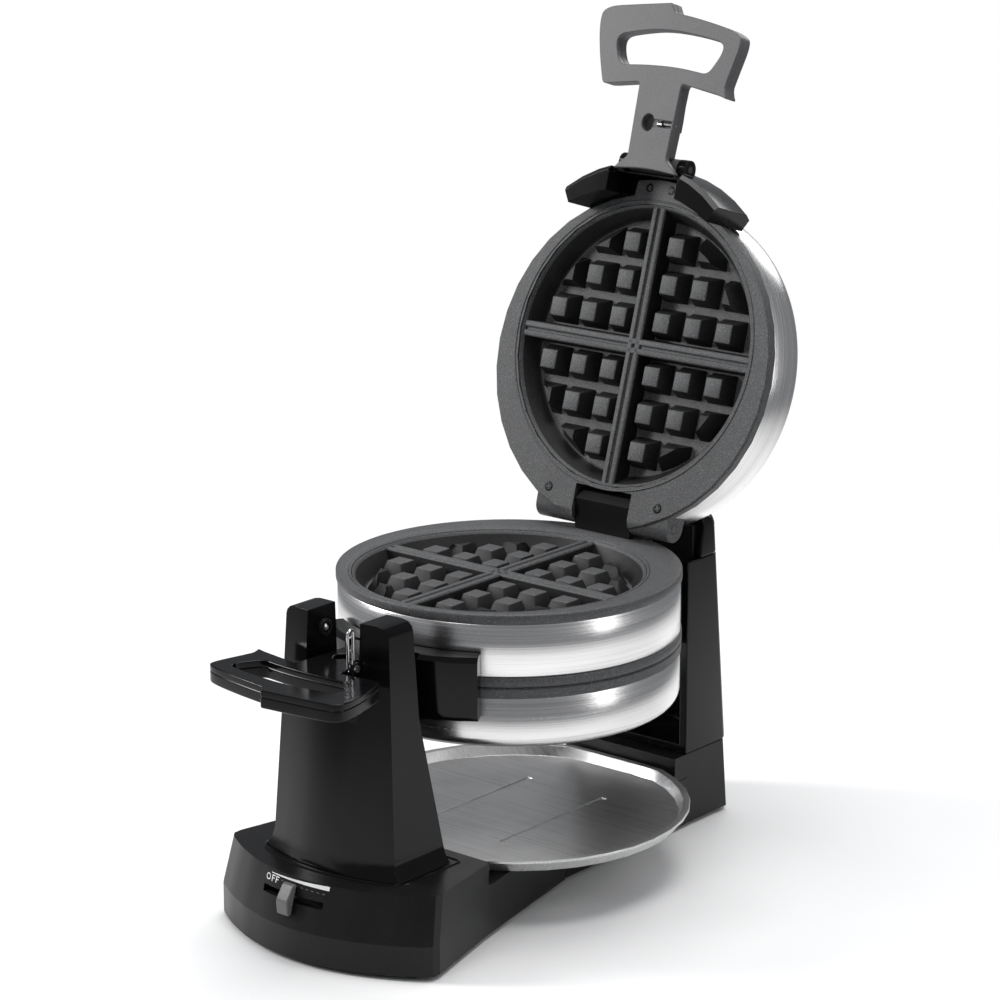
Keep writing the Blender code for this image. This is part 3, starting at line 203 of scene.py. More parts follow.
# Steel brushed round an axis: fine streaks that depend on height on the wall and on radius on the ends
def round_brushed_surface(name, centre, axis, colour=(0.80, 0.795, 0.79)):
    made = Surface(name, colour, 0.3, 1.0)
    height = made.along(axis)
    radius = made.away(centre, axis)
    x, y, z = made.place
    streak = made.noise((height * 2600.0 + x * 7.0, radius * 2600.0 + y * 7.0, z * 7.0), 1.0, 4.0)
    broad = made.noise((height * 420.0 + x * 3.0, radius * 420.0 + y * 3.0, z * 3.0), 1.0, 2.0)
    mixed = streak * 0.65 + broad * 0.35
    dark, light = tuple(0.72 * part for part in colour), tuple(1.16 * part for part in colour)
    made.colours(mixed, (0.3, dark), (0.5, colour), (0.72, light))
    made.rough(mixed, 0.16, 0.34)
    made.bump(streak, 0.00006, 0.5)
    made.shader.inputs["Anisotropic"].default_value = 0.5
    return made.material


# Steel brushed in straight lines
def line_brushed_surface(name, direction, colour):
    made = Surface(name, colour, 0.32, 0.85)
    x, y, z = made.place
    run = made.along(direction)
    grain = (x * 1700.0 - run * 1690.0 * direction[0], y * 1700.0 - run * 1690.0 * direction[1], z * 200.0)
    streak = made.noise(grain, 1.0, 4.0)
    cloud = made.noise(made.place, 30.0)
    dark, light = tuple(0.74 * part for part in colour), tuple(1.15 * part for part in colour)
    made.colours(streak * 0.7 + cloud * 0.3, (0.3, dark), (0.5, colour), (0.7, light))
    made.rough(streak, 0.22, 0.4)
    made.bump(streak, 0.00005, 0.4)
    return made.material


def bright_surface(name, colour, low, high):
    made = Surface(name, colour, low, 1.0)
    cloud = made.noise(made.place, 300.0)
    made.colours(cloud, (0.3, tuple(0.85 * part for part in colour)), (0.7, colour))
    made.rough(cloud, low, high)
    made.bump(cloud, 0.00004, 0.3)
    return made.material


COATED = coated_surface(
    "coated_plate_rich", (0.040, 0.040, 0.041), (0.080, 0.081, 0.083), (0.235, 0.238, 0.242))
# Painted shade: a darker copy of the coating for the grids' hollows, the bowl's wall and the studs' sides
COATED_PAINTED_SHADE = coated_surface(
    "coated_plate_painted_shade", (0.006, 0.006, 0.006), (0.013, 0.013, 0.0135), (0.045, 0.045, 0.046))
MATT_BLACK = moulded_surface(
    "black_moulding_rich", (0.006, 0.006, 0.0063), (0.011, 0.011, 0.0115), 0.26, 0.40, 0.00005, 0.22)
# Painted light: the upper handle's moulding is a lighter grey than the lower handle's gloss black, standing in for the
# light that falls on it
UPPER_HANDLE_PAINTED_LIGHT = moulded_surface(
    "handle_moulding_painted_light", (0.095, 0.095, 0.097), (0.130, 0.130, 0.133), 0.3, 0.45, 0.00008)
GLOSS_BLACK = gloss_surface()
BAND_STEEL = round_brushed_surface("unit_steel_rich", tuple(HOUSING), (0.0, 0.0, 1.0))
LID_STEEL = round_brushed_surface(
    "lid_steel_rich", tuple(lid_frame(UPPER_LID, LID_MIDDLE).translation), tuple(UPPER_LID[2]))
TRAY_STEEL = line_brushed_surface("tray_steel_rich", (1.0, 0.0, 0.0), (0.60, 0.60, 0.60))
CHROME = bright_surface("chrome_rich", (0.82, 0.82, 0.83), 0.06, 0.16)
SCREW_DARK = bright_surface("screw_dark_rich", (0.022, 0.022, 0.023), 0.3, 0.45)
PIN_DARK = bright_surface("pin_dark_rich", (0.16, 0.16, 0.165), 0.3, 0.45)
PIN_STEEL = bright_surface("pin_steel_rich", (0.60, 0.60, 0.61), 0.2, 0.34)
TUBE_STEEL = bright_surface("element_tube_rich", (0.17, 0.15, 0.14), 0.42, 0.6)
BEARING = bright_surface("bearing_metal_rich", (0.42, 0.35, 0.24), 0.32, 0.5)
RUBBER = moulded_surface("rubber_rich", (0.014, 0.014, 0.014), (0.028, 0.028, 0.028), 0.7, 0.85, 0.0001)
KNOB_GREY = moulded_surface("knob_grey_rich", (0.11, 0.11, 0.113), (0.16, 0.16, 0.163), 0.3, 0.42, 0.00004)
PRINT_WHITE = moulded_surface("print_white_rich", (0.72, 0.72, 0.72), (0.80, 0.80, 0.80), 0.4, 0.5, 0.00002)
SLOT_MATERIALS = {
    "black_moulding": MATT_BLACK, "gloss_moulding": GLOSS_BLACK, "coated_plate": COATED,
    "brushed_steel": BAND_STEEL,
    "bright_pin": PIN_STEEL, "element_tube": TUBE_STEEL, "rubber": RUBBER, "bearing_metal": BEARING,
}
PIN_NODES = ("upper_hinge_pin", "lower_hinge_pin", "upper_handle_pin", "lower_handle_pin")
for node_name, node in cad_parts.items():
    for place in node.material_slots:
        key = place.material.name.split(".")[0] if place.material else ""
        if key in SLOT_MATERIALS:
            place.material = PIN_DARK if node_name in PIN_NODES else SLOT_MATERIALS[key]


# Building helpers shared by the pieces below
def place_piece(name, mesh_maker, material, body, stands_for=(), sharp=35.0, bevel=0.0, segments=2, edge=30.0):
    mesh = bpy.data.meshes.new(name)
    mesh_maker.normal_update()
    bmesh.ops.recalc_face_normals(mesh_maker, faces=mesh_maker.faces)
    mesh_maker.to_mesh(mesh)
    mesh_maker.free()
    piece = bpy.data.objects.new(name, mesh)
    bpy.context.scene.collection.objects.link(piece)
    return dress(piece, material, body, stands_for, sharp, bevel, segments, edge)


def dress(piece, material, body, stands_for=(), sharp=35.0, bevel=0.0, segments=2, edge=30.0):
    piece.data.materials.clear()
    piece.data.materials.append(material)
    piece.data.shade_smooth()
    piece.data.set_sharp_from_angle(angle=math.radians(sharp))
    if bevel:
        soften = piece.modifiers.new("soft_edges", "BEVEL")
        soften.width, soften.segments, soften.limit_method = bevel, segments, "ANGLE"
        soften.angle_limit = math.radians(edge)
        soften.harden_normals = False
        piece.data.set_sharp_from_angle(angle=math.radians(80.0))
        even = piece.modifiers.new("even_normals", "WEIGHTED_NORMAL")
        even.keep_sharp = True
    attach(piece, body)
    if stands_for:
        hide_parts(*stands_for)
    return piece


def add_turned(maker, profile, frame_of, steps=144, closed=True):
    rows = []
    for k in range(steps):
        angle = math.tau * k / steps
        rows.append([
            maker.verts.new(frame_of @ Vector((r * math.cos(angle), r * math.sin(angle), h))) for r, h in profile])
    count = len(profile)
    for k in range(steps):
        near, far = rows[k], rows[(k + 1) % steps]
        for i in range(count if closed else count - 1):
            j = (i + 1) % count
            maker.faces.new((near[i], near[j], far[j], far[i]))


def add_cap(maker, radius, height, frame_of, steps=144, rings=6):
    profile = [(radius * k / rings, height) for k in range(1, rings + 1)]
    centre = maker.verts.new(frame_of @ Vector((0.0, 0.0, height)))
    rows = []
    for k in range(steps):
        angle = math.tau * k / steps
        rows.append([
            maker.verts.new(frame_of @ Vector((r * math.cos(angle), r * math.sin(angle), h))) for r, h in profile])
    for k in range(steps):
        near, far = rows[k], rows[(k + 1) % steps]
        maker.faces.new((centre, near[0], far[0]))
        for i in range(rings - 1):
            maker.faces.new((near[i], near[i + 1], far[i + 1], far[i]))


def add_block(maker, frame_of, low, high, taper=0.0, bevel=0.0, segments=3):
    corners = []
    for z, shrink in ((low[2], 0.0), (high[2], taper)):
        for x, y in ((low[0] + shrink, low[1] + shrink), (high[0] - shrink, low[1] + shrink),
                     (high[0] - shrink, high[1] - shrink), (low[0] + shrink, high[1] - shrink)):
            corners.append(maker.verts.new(frame_of @ Vector((x, y, z))))
    faces = [maker.faces.new([corners[i] for i in ring]) for ring in (
        (3, 2, 1, 0), (4, 5, 6, 7), (0, 1, 5, 4), (1, 2, 6, 5), (2, 3, 7, 6), (3, 0, 4, 7))]
    if bevel:
        edges = [e for e in {e for f in faces for e in f.edges} if not all(v in corners[:4] for v in e.verts)]
        bmesh.ops.bevel(
            maker, geom=edges, offset=bevel, segments=segments, profile=0.5, affect="EDGES", clamp_overlap=True)


def arc(centre, radius, start, end, steps):
    angles = [math.radians(start + (end - start) * k / steps) for k in range(steps + 1)]
    return [(centre[0] + radius * math.cos(angle), centre[1] + radius * math.sin(angle)) for angle in angles]


# The CAD solids with modest curves come back as copies with clean, softly bevelled edges
def refined(node, body, material, width, edge, segments=3, merge=0.00002):
    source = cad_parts[node]
    maker = bmesh.new()
    maker.from_mesh(source.data)
    bmesh.ops.transform(maker, matrix=source.matrix_world, verts=maker.verts)
    bmesh.ops.remove_doubles(maker, verts=maker.verts, dist=merge)
    bmesh.ops.dissolve_limit(maker, angle_limit=math.radians(0.6), verts=maker.verts, edges=maker.edges)
    return place_piece("fine_" + node, maker, material, body, (node,), bevel=width, segments=segments, edge=edge)


REFINED = (
    ("front_pillar", "base", GLOSS_BLACK, 0.0009, 26.0), ("rear_pillar", "base", GLOSS_BLACK, 0.0008, 30.0),
    ("rear_pillar_cap", "base", GLOSS_BLACK, 0.0010, 30.0), ("base_housing", "base", MATT_BLACK, 0.0007, 11.5),
    ("bearing_block", "base", MATT_BLACK, 0.0006, 30.0), ("rest_boss", "base", MATT_BLACK, 0.0005, 30.0),
    ("upper_bracket", "upper_lid", GLOSS_BLACK, 0.0008, 30.0),
    ("lower_bracket", "lower_lid", GLOSS_BLACK, 0.0008, 30.0),
    ("hinge_block", "unit", MATT_BLACK, 0.0006, 30.0), ("upper_lid_flange", "upper_lid", COATED, 0.0004, 30.0),
    ("lower_lid_flange", "lower_lid", COATED, 0.0004, 30.0), ("slider_knob", "slider", KNOB_GREY, 0.0007, 30.0),
    ("mains_inlet", "base", MATT_BLACK, 0.0003, 30.0), ("drip_tray", "tray", TRAY_STEEL, 0.0003, 30.0),
)
for node_name, body_name, finish, width, edge_angle in REFINED:
    refined(node_name, body_name, finish, width, edge_angle)


# Fine waffle grids: a bowl with a sloping wall, six full studs and two cut ones in each quarter,
# and a crossing pair of ribs with rounded crests and a groove along the middle
FLOOR_DEPTH = 0.0155
STUD_PITCH = 0.0254
STUD_FIRST = 0.018
STUD_HALF = 0.0103
STUD_NARROW = 0.0040
STUD_TOP_DEPTH = 0.0032
BOWL_FLOOR_RADIUS = 0.0845


def rib_profile():
    side = [(0.0067, -FLOOR_DEPTH), (0.0053, -0.0034)] + arc((0.0040, -0.0033), 0.0013, 5, 90, 4)
    side += [(0.0020, -0.0020)] + arc((0.0018, -0.0024), 0.0004, 90, 180, 2) + [(0.0009, -0.0034), (0.0, -0.0037)]
    return side + [(-x, z) for x, z in reversed(side[:-1])]


def add_rib(maker, frame_of, along, low, high):
    rows = []
    for run in (low, high):
        rows.append([
            maker.verts.new(frame_of @ Vector((x, run, z) if along == "Y" else (run, x, z))) for x, z in rib_profile()])
    for i in range(len(rows[0])):
        j = (i + 1) % len(rows[0])
        maker.faces.new((rows[0][i], rows[0][j], rows[1][j], rows[1][i]))
    for row in rows:
        maker.faces.new(row)


def add_cut_stud(maker, frame_of, x, y):
    """A stud at the grid's edge: the part of its foot and top that lies inside the bowl's wall."""
    rows = []
    levels = ((STUD_HALF, -FLOOR_DEPTH - 0.0003, 0.0855), (STUD_HALF - STUD_NARROW, -0.0045, 0.0782))
    for half, height, limit in levels:
        ring = []
        corners = [(x - half, y - half), (x + half, y - half), (x + half, y + half), (x - half, y + half)]
        for k in range(4):
            here, after = Vector(corners[k]), Vector(corners[(k + 1) % 4])
            ring += [here.lerp(after, step / 5) for step in range(5)]
        rows.append([maker.verts.new(frame_of @ Vector((*(p * min(1.0, limit / p.length)), height))) for p in ring])
    for i in range(20):
        j = (i + 1) % 20
        maker.faces.new((rows[0][i], rows[0][j], rows[1][j], rows[1][i]))
    maker.faces.new(rows[1])


def fine_grid(name, body, frame_of, node):
    maker = bmesh.new()
    wall = [(BOWL_FLOOR_RADIUS, -FLOOR_DEPTH), (BOWL_FLOOR_RADIUS + 0.0018, -FLOOR_DEPTH + 0.0005),
            (BOWL_FLOOR_RADIUS + 0.0030, -FLOOR_DEPTH + 0.0020), (0.0926, -0.0030), (0.0936, -0.0014),
            (0.0941, -0.0010), (0.0947, -0.0011), (0.0949, -0.0016), (0.0949, -FLOOR_DEPTH - 0.0020)]
    add_turned(maker, wall, frame_of, closed=False)
    add_cap(maker, BOWL_FLOOR_RADIUS, -FLOOR_DEPTH, frame_of, rings=3)
    add_cap(maker, 0.0949, -FLOOR_DEPTH - 0.0020, frame_of, rings=2)
    for sx in (1, -1):
        for sy in (1, -1):
            for i in range(3):
                for j in range(3 - i):
                    x, y = sx * (STUD_FIRST + STUD_PITCH * i), sy * (STUD_FIRST + STUD_PITCH * j)
                    add_block(maker, frame_of, (x - STUD_HALF, y - STUD_HALF, -FLOOR_DEPTH - 0.0003),
                              (x + STUD_HALF, y + STUD_HALF, -STUD_TOP_DEPTH), STUD_NARROW, 0.0009)
            for i, j in ((2, 1), (1, 2)):
                x, y = sx * (STUD_FIRST + STUD_PITCH * i), sy * (STUD_FIRST + STUD_PITCH * j)
                add_cut_stud(maker, frame_of, x, y)
    reach = 0.0936
    for along in "XY":
        add_rib(maker, frame_of, along, -reach, reach)
    ring = [(0.0030, -0.0037), (0.0033, -0.0022), (0.0041, -0.0019), (0.0049, -0.0022), (0.0052, -0.0037)]
    add_turned(maker, ring, frame_of @ Matrix.Rotation(math.radians(45.0), 4, "Z"), 4 * 8, closed=False)
    piece = place_piece(name, maker, COATED, body, (node,), sharp=42.0)
    # Painted shade: faces below the crests, the bowl's wall and the studs' sides, take the darker copy of the coating
    # where shade falls in the hollows, while low faces that face straight up keep the lighter coating
    piece.data.materials.append(COATED_PAINTED_SHADE)
    back = frame_of.inverted()
    up = (frame_of.to_3x3() @ Vector((0.0, 0.0, 1.0))).normalized()
    for face in piece.data.polygons:
        height = (back @ face.center).z
        if height < -0.0036 and not (height < -0.0120 and abs(face.normal.dot(up)) > 0.9):
            face.material_index = 1
    return piece


UNIT_TOP = Matrix.Translation(HOUSING + Vector((0.0, -GRID_SHIFT, UNIT_HALF)))
UNIT_UNDER = Matrix.Translation(HOUSING + Vector((0.0, -GRID_SHIFT, -UNIT_HALF)))
UNIT_UNDER = UNIT_UNDER @ Matrix.Rotation(math.pi, 4, "Y")
fine_grid("grid_unit_upper", "unit", UNIT_TOP, "unit_upper_grid")
fine_grid("grid_unit_lower", "unit", UNIT_UNDER, "unit_lower_grid")
fine_grid("grid_upper_lid", "upper_lid", lid_frame(UPPER_LID, GRID_MIDDLE, FACE_SET - 0.0003), "upper_lid_grid")
fine_grid("grid_lower_lid", "lower_lid", lid_frame(LOWER_LID, GRID_MIDDLE, FACE_SET - 0.0003), "lower_lid_grid")


# Round steel skins: the unit's band with its rolled edges, and the two domed lid shells
def fine_band():
    maker = bmesh.new()
    half, radius = UNIT_HALF - RIM_THICK - 0.0003, 0.1110
    profile = [(radius - 0.0014, -half), (radius - 0.0005, -half)]
    profile += [(radius, -half + 0.0006), (radius, 0.0), (radius, half - 0.0006)]
    profile += [(radius - 0.0005, half), (radius - 0.0014, half)]
    add_turned(maker, profile, Matrix.Translation(HOUSING))
    return place_piece("band_skin", maker, BAND_STEEL, "unit", ("middle_band",), sharp=50.0)


def fine_shell(name, body, lid, material, node):
    maker = bmesh.new()
    low, top, radius = FACE_SET - 0.0003 - FLANGE_THICK - 0.0003, FACE_SET - 0.0003 - LID_DEPTH, 0.1110
    crown = top + 0.0012
    profile = [(radius - 0.0012, low), (radius - 0.0004, low), (radius, low - 0.0005), (radius, top + 0.0125)]
    profile += [(r, h) for r, h in arc((radius - 0.0088, top + 0.0092), 0.0088, 0, -84, 8)]
    profile += [(0.080, top + 0.0001), (0.0782, top + 0.0004), (0.0776, crown)]
    frame_of = lid_frame(lid, LID_MIDDLE)
    add_turned(maker, profile, frame_of, closed=False)
    add_cap(maker, 0.0776, crown, frame_of, rings=8)
    return place_piece(name, maker, material, body, (node,), sharp=40.0)


fine_band()
for shell_name, shell_body, shell_lid, shell_paint, shell_node in (
        ("shell_upper", "upper_lid", UPPER_LID, LID_STEEL, "upper_lid_shell"),
        ("shell_lower", "lower_lid", LOWER_LID, BAND_STEEL, "lower_lid_shell")):
    fine_shell(shell_name, shell_body, shell_lid, shell_paint, shell_node)


# Rims of the unit: a coated ring with a rounded outer edge and a fine groove round the grid
def fine_rim(name, flip, node):
    maker = bmesh.new()
    frame_of = Matrix.Translation(HOUSING) @ (Matrix.Rotation(math.pi, 4, "Y") if flip else Matrix())
    low, high = UNIT_HALF - RIM_THICK, UNIT_HALF
    steps = 144
    rows = []
    for k in range(steps):
        angle = math.tau * k / steps
        way = Vector((math.cos(angle), math.sin(angle), 0.0))
        inner_middle = Vector((0.0, -GRID_SHIFT, 0.0))
        b = way.dot(inner_middle)
        def inner(radius):
            return b + math.sqrt(b * b - inner_middle.length_squared + radius * radius)
        reach = [inner(0.0952), inner(0.0952), inner(0.0958), inner(0.0966), inner(0.0970), inner(0.0979),
                 0.1120 - 0.0012, 0.1120 - 0.0004, 0.1120, 0.1120, 0.1120 - 0.0006]
        heights = [low, high - 0.0009, high - 0.0002, high - 0.0002, high - 0.0009, high,
                   high, high - 0.0004, high - 0.0012, low + 0.0006, low]
        rows.append([maker.verts.new(frame_of @ (way * r + Vector((0.0, 0.0, z)))) for r, z in zip(reach, heights)])
    for k in range(steps):
        near, far = rows[k], rows[(k + 1) % steps]
        for i in range(len(near)):
            j = (i + 1) % len(near)
            maker.faces.new((near[i], near[j], far[j], far[i]))
    return place_piece(name, maker, COATED, "unit", (node,), sharp=50.0)


fine_rim("rim_upper", False, "upper_rim")
fine_rim("rim_lower", True, "lower_rim")


# Handles: a looped grip on a flat stem, cut from outlines with a rounded edge, the catch recess left open
GRIP_SIZE = 0.0598
GRIP_ROOT = -0.0472
MEETING_FACE = -0.0134
HANDLE_DEPTH = 0.0115
FRONT_DEPTH = 0.0042


def softened(corners, steps=6):
    """A closed outline whose corners (x, y, radius) turn into arcs; a radius of one takes half of each side."""
    outline = []
    for i, (x, y, radius) in enumerate(corners):
        here = Vector((x, y))
        ends = []
        for other in (corners[i - 1], corners[(i + 1) % len(corners)]):
            side = Vector(other[:2]) - here
            ends.append(side * min(radius / side.length, 0.5))
        for k in range(steps + 1):
            t = k / steps
            outline.append(tuple(here + (1 - t) ** 2 * ends[0] + t ** 2 * ends[1]))
    return outline


def cut_plate(maker, frame_of, outlines, low, high, edge):
    """A flat plate between two levels with a rounded edge, outlines after the first are holes."""
    drawing = bpy.data.curves.new("plate", "CURVE")
    drawing.dimensions, drawing.fill_mode = "2D", "BOTH"
    drawing.extrude, drawing.bevel_depth, drawing.bevel_resolution = (high - low) / 2 - edge, edge, 3
    drawing.offset = -edge
    for outline in outlines:
        line = drawing.splines.new("POLY")
        line.points.add(len(outline) - 1)
        for point, (x, y) in zip(line.points, outline):
            point.co = (x, y, 0.0, 1.0)
        line.use_cyclic_u = True
    holder = bpy.data.objects.new("plate", drawing)
    bpy.context.scene.collection.objects.link(holder)
    bpy.context.view_layer.update()
    mesh = bpy.data.meshes.new_from_object(holder.evaluated_get(bpy.context.evaluated_depsgraph_get()))
    mesh.transform(frame_of @ Matrix.Translation((0.0, 0.0, (low + high) / 2)))
    maker.from_mesh(mesh)
    bpy.data.objects.remove(holder)
    bpy.data.curves.remove(drawing)
    bpy.data.meshes.remove(mesh)


def fine_handle(name, body, lid, catch_side, material, node, lug=False):
    frame_of = lid_frame(lid, 0.2338, 0.0201) @ Matrix.Rotation(math.pi, 4, "X")
    sharp, round_all = 0.0012, 1.0
    shares = [(-0.36, 0.078, 0.004), (-0.72, 0.03, 0.004), (-0.80, 0.03, 0.003), (-0.92, 0.36, round_all),
              (-1.0, 0.70, round_all), (-0.97, 0.885, round_all), (-0.50, 0.94, round_all), (-0.05, 0.989, sharp),
              (0.015, 0.885, sharp), (0.45, 0.83, round_all), (0.94, 0.73, round_all), (0.972, 0.60, round_all),
              (0.90, 0.30, round_all), (0.865, 0.13, 0.002), (0.91, 0.0, 0.001), (0.80, 0.03, 0.003),
              (0.35, 0.10, 0.004)]
    grip = [(x * GRIP_SIZE, GRIP_ROOT - y * GRIP_SIZE, r) for x, y, r in shares]
    stem = [(0.0172, -0.0540, 0.0035), (0.0158, -0.0030, 0.003)]
    foot = [(0.0215, 0.0014, 0.003), (0.0250, 0.0052, 0.001), (0.0252, 0.0058, 0.0005), (0.0, 0.0036, round_all)]
    mirror = [(-x, y, r) for x, y, r in reversed([(0.0172, -0.0524, 0.0035), *stem[1:], *foot[:-1]])]
    window = [(-0.60, 0.255, 0.006), (-0.70, 0.45, 0.010), (-0.69, 0.585, 0.006), (-0.42, 0.645, round_all),
              (-0.10, 0.69, round_all), (0.35, 0.665, round_all), (0.745, 0.60, 0.006), (0.74, 0.48, 0.006),
              (0.60, 0.245, 0.005), (0.20, 0.29, round_all), (-0.25, 0.285, round_all)]
    hole = softened([(x * GRIP_SIZE, GRIP_ROOT - y * GRIP_SIZE, r) for x, y, r in window])
    catch = []
    for k in range(33):
        angle = math.radians(25.0 + 310.0 * k / 32)
        catch.append((catch_side * (0.0047 * math.cos(angle) - 0.0042), 0.0057 * math.sin(angle) - 0.0263))
    catch += [(catch_side * 0.0148, -0.0263 - 0.0022), (catch_side * 0.0148, -0.0263 + 0.0022)]
    maker = bmesh.new()
    cut_plate(maker, frame_of, [softened(grip + stem + foot + mirror), hole, catch],
              MEETING_FACE, MEETING_FACE + FRONT_DEPTH, 0.0007)
    back_stem = [(0.0166, -0.0540, 0.0035), (0.0152, -0.0045, 0.002)]
    back_mirror = [(-0.0152, -0.0045, 0.002), (-0.0166, -0.0524, 0.0035)]
    cut_plate(maker, frame_of, [softened(grip + back_stem + back_mirror), hole, catch],
              MEETING_FACE + FRONT_DEPTH - 0.0004, MEETING_FACE + HANDLE_DEPTH, 0.0012)
    add_block(maker, frame_of, (-0.0152, -0.0340, MEETING_FACE + 0.0053), (0.0152, -0.0180, MEETING_FACE + 0.0085))
    knuckle = [(0.0060, -0.0201), (0.0060, 0.0201)]
    turn = frame_of @ Matrix.Rotation(math.pi / 2, 4, "Y")
    add_turned(maker, [(0.0028, -0.0201), *knuckle, (0.0028, 0.0201)], turn, 32)
    if lug:
        inner, thick, pivot = 0.0204, 0.0026, -0.0153
        side = catch_side
        for low, high in (((0.0150, -0.0462, pivot + 0.0044), (inner + thick, -0.0402, pivot + 0.0070)),
                          ((inner, -0.0462, pivot - 0.0030), (inner + thick, -0.0402, pivot + 0.0070))):
            xs = sorted((side * low[0], side * high[0]))
            add_block(maker, frame_of, (xs[0], low[1], low[2]), (xs[1], high[1], high[2]), 0.0, 0.0004, 2)
    piece = place_piece(name, maker, material, body, (node,), sharp=38.0)
    even = piece.modifiers.new("even_normals", "WEIGHTED_NORMAL")
    even.keep_sharp = True
    return piece


# The upper handle takes the lighter painted-light grey, the lower handle the gloss black
fine_handle("handle_upper", "upper_grip", UPPER_LID, 1, UPPER_HANDLE_PAINTED_LIGHT, "upper_handle")
fine_handle("handle_lower", "lower_grip", LOWER_LID, -1, GLOSS_BLACK, "lower_handle", True)


# Wire latch: one smooth closed loop with two short cross rods, standing on its stud beside the lower stem
def wire_rod(maker, points, radius, closed=False, sides=12):
    path = [Vector(point) for point in points]
    rows = []
    for i, here in enumerate(path):
        before = path[i - 1] if closed or i else here
        after = path[(i + 1) % len(path)] if closed or i + 1 < len(path) else here
        run = (after - before).normalized()
        side = run.cross(Vector((1.0, 0.0, 0.0))).normalized()
        lift = run.cross(side)
        rows.append([maker.verts.new(here + radius * (math.cos(a) * side + math.sin(a) * lift))
                     for a in (math.tau * k / sides for k in range(sides))])
    pairs = list(zip(rows, rows[1:])) + ([(rows[-1], rows[0])] if closed else [])
    for near, far in pairs:
        for k in range(sides):
            j = (k + 1) % sides
            maker.faces.new((near[k], near[j], far[j], far[k]))
    if not closed:
        maker.faces.new(rows[0])
        maker.faces.new(list(reversed(rows[-1])))


wire = bmesh.new()
wire_x, wire_y, wire_z = 0.0187, -0.1514, 0.1842
bend = 0.0024
loop = [(wire_x, wire_y + y, wire_z + z) for y, z in
        arc((0.0, 0.0), bend, 180, 360, 16) + arc((0.0, 0.0212), bend, 0, 180, 16)]
wire_rod(wire, loop, 0.0010, closed=True)
for share in (0.36, 0.66):
    height = wire_z + 0.028 * share
    wire_rod(wire, [(wire_x, wire_y - bend, height), (wire_x, wire_y + bend, height + 0.001)], 0.0006)
place_piece("wire_loop", wire, CHROME, "latch", ("latch_wire",), sharp=60.0)


# The upper strap stays open in the middle below the handle, where the flange's tongue carries its two screws
def opened(piece, frame_of, low, high):
    cutter_maker = bmesh.new()
    add_block(cutter_maker, frame_of, low, high)
    bmesh.ops.recalc_face_normals(cutter_maker, faces=cutter_maker.faces)
    mesh = bpy.data.meshes.new("cutter")
    cutter_maker.to_mesh(mesh)
    cutter_maker.free()
    cutter = bpy.data.objects.new("cutter", mesh)
    bpy.context.scene.collection.objects.link(cutter)
    cut = piece.modifiers.new("cut", "BOOLEAN")
    cut.operation, cut.solver, cut.object = "DIFFERENCE", "EXACT", cutter
    bpy.ops.object.select_all(action="DESELECT")
    bpy.context.view_layer.objects.active = piece
    bpy.ops.object.modifier_move_to_index(modifier="cut", index=0)
    bpy.ops.object.modifier_apply(modifier="cut")
    bpy.data.objects.remove(cutter)


opened(bpy.data.objects["fine_upper_bracket"], lid_frame(UPPER_LID),
       (-0.0280, 0.2000, 0.0042), (0.0280, 0.2262, 0.0400))

tongue = bmesh.new()
tongue_outline = softened([(-0.0208, 0.2110, 0.001), (0.0208, 0.2110, 0.001), (0.0200, 0.2238, 0.002),
                           (0.0, 0.2262, 1.0), (-0.0200, 0.2238, 0.002)])
cut_plate(tongue, lid_frame(UPPER_LID), [tongue_outline], FACE_SET - 0.0065, FACE_SET - 0.00022, 0.0004)
place_piece("flange_tongue", tongue, COATED, "upper_lid")


# Recessed cross screws in the upper flange: two in the hinge ears, two in the tongue by the handle
def cross_screw(name, body, frame_of, radius, material):
    maker = bmesh.new()
    profile = [(radius, -0.0004), (radius, 0.00008), (radius - 0.0003, 0.00018), (radius * 0.62, 0.00016),
               (radius * 0.60, 0.00002)]
    add_turned(maker, profile, frame_of, 32, closed=False)
    for quarter in range(4):
        spin = frame_of @ Matrix.Rotation(quarter * math.pi / 2 + math.radians(20.0), 4, "Z")
        add_block(maker, spin, (radius * 0.17, radius * 0.17, -0.0002), (radius * 0.47, radius * 0.47, 0.00016))
    return place_piece(name, maker, material, body, sharp=30.0)


SCREW_PLACES = (
    ("screw_ear_left", -0.0458, 0.0116, 0.0034), ("screw_ear_right", 0.0458, 0.0116, 0.0034),
    ("screw_tongue_left", -0.0092, 0.2195, 0.0030), ("screw_tongue_right", 0.0084, 0.2195, 0.0030),
)
for screw_name, side, along, radius in SCREW_PLACES:
    middle = lid_frame(UPPER_LID, along, FACE_SET - 0.0003) @ Matrix.Translation((side, 0.0, 0.0))
    cross_screw(screw_name, "upper_lid", middle, radius, SCREW_DARK)


# Fine bead round the upper lid's grid
def flange_bead(name, body, frame_of):
    maker = bmesh.new()
    profile = arc((0.0972, -0.0001), 0.0007, 0, 180, 6)
    add_turned(maker, profile, frame_of, closed=False)
    return place_piece(name, maker, COATED, body)


flange_bead("bead_upper_lid", "upper_lid", lid_frame(UPPER_LID, GRID_MIDDLE, FACE_SET - 0.0003))


# Temperature scale: the word OFF and a wedge that grows to the right, printed on the sloping face
SLOPE_LOW, SLOPE_HIGH = Vector((0.0, -0.1906, 0.0225)), Vector((0.0, -0.1814, 0.0525))
SLOPE_UP = (SLOPE_HIGH - SLOPE_LOW).normalized()
SLOPE_OUT = SLOPE_UP.cross(Vector((-1.0, 0.0, 0.0))).normalized()
if SLOPE_OUT.y > 0.0:
    SLOPE_OUT = -SLOPE_OUT


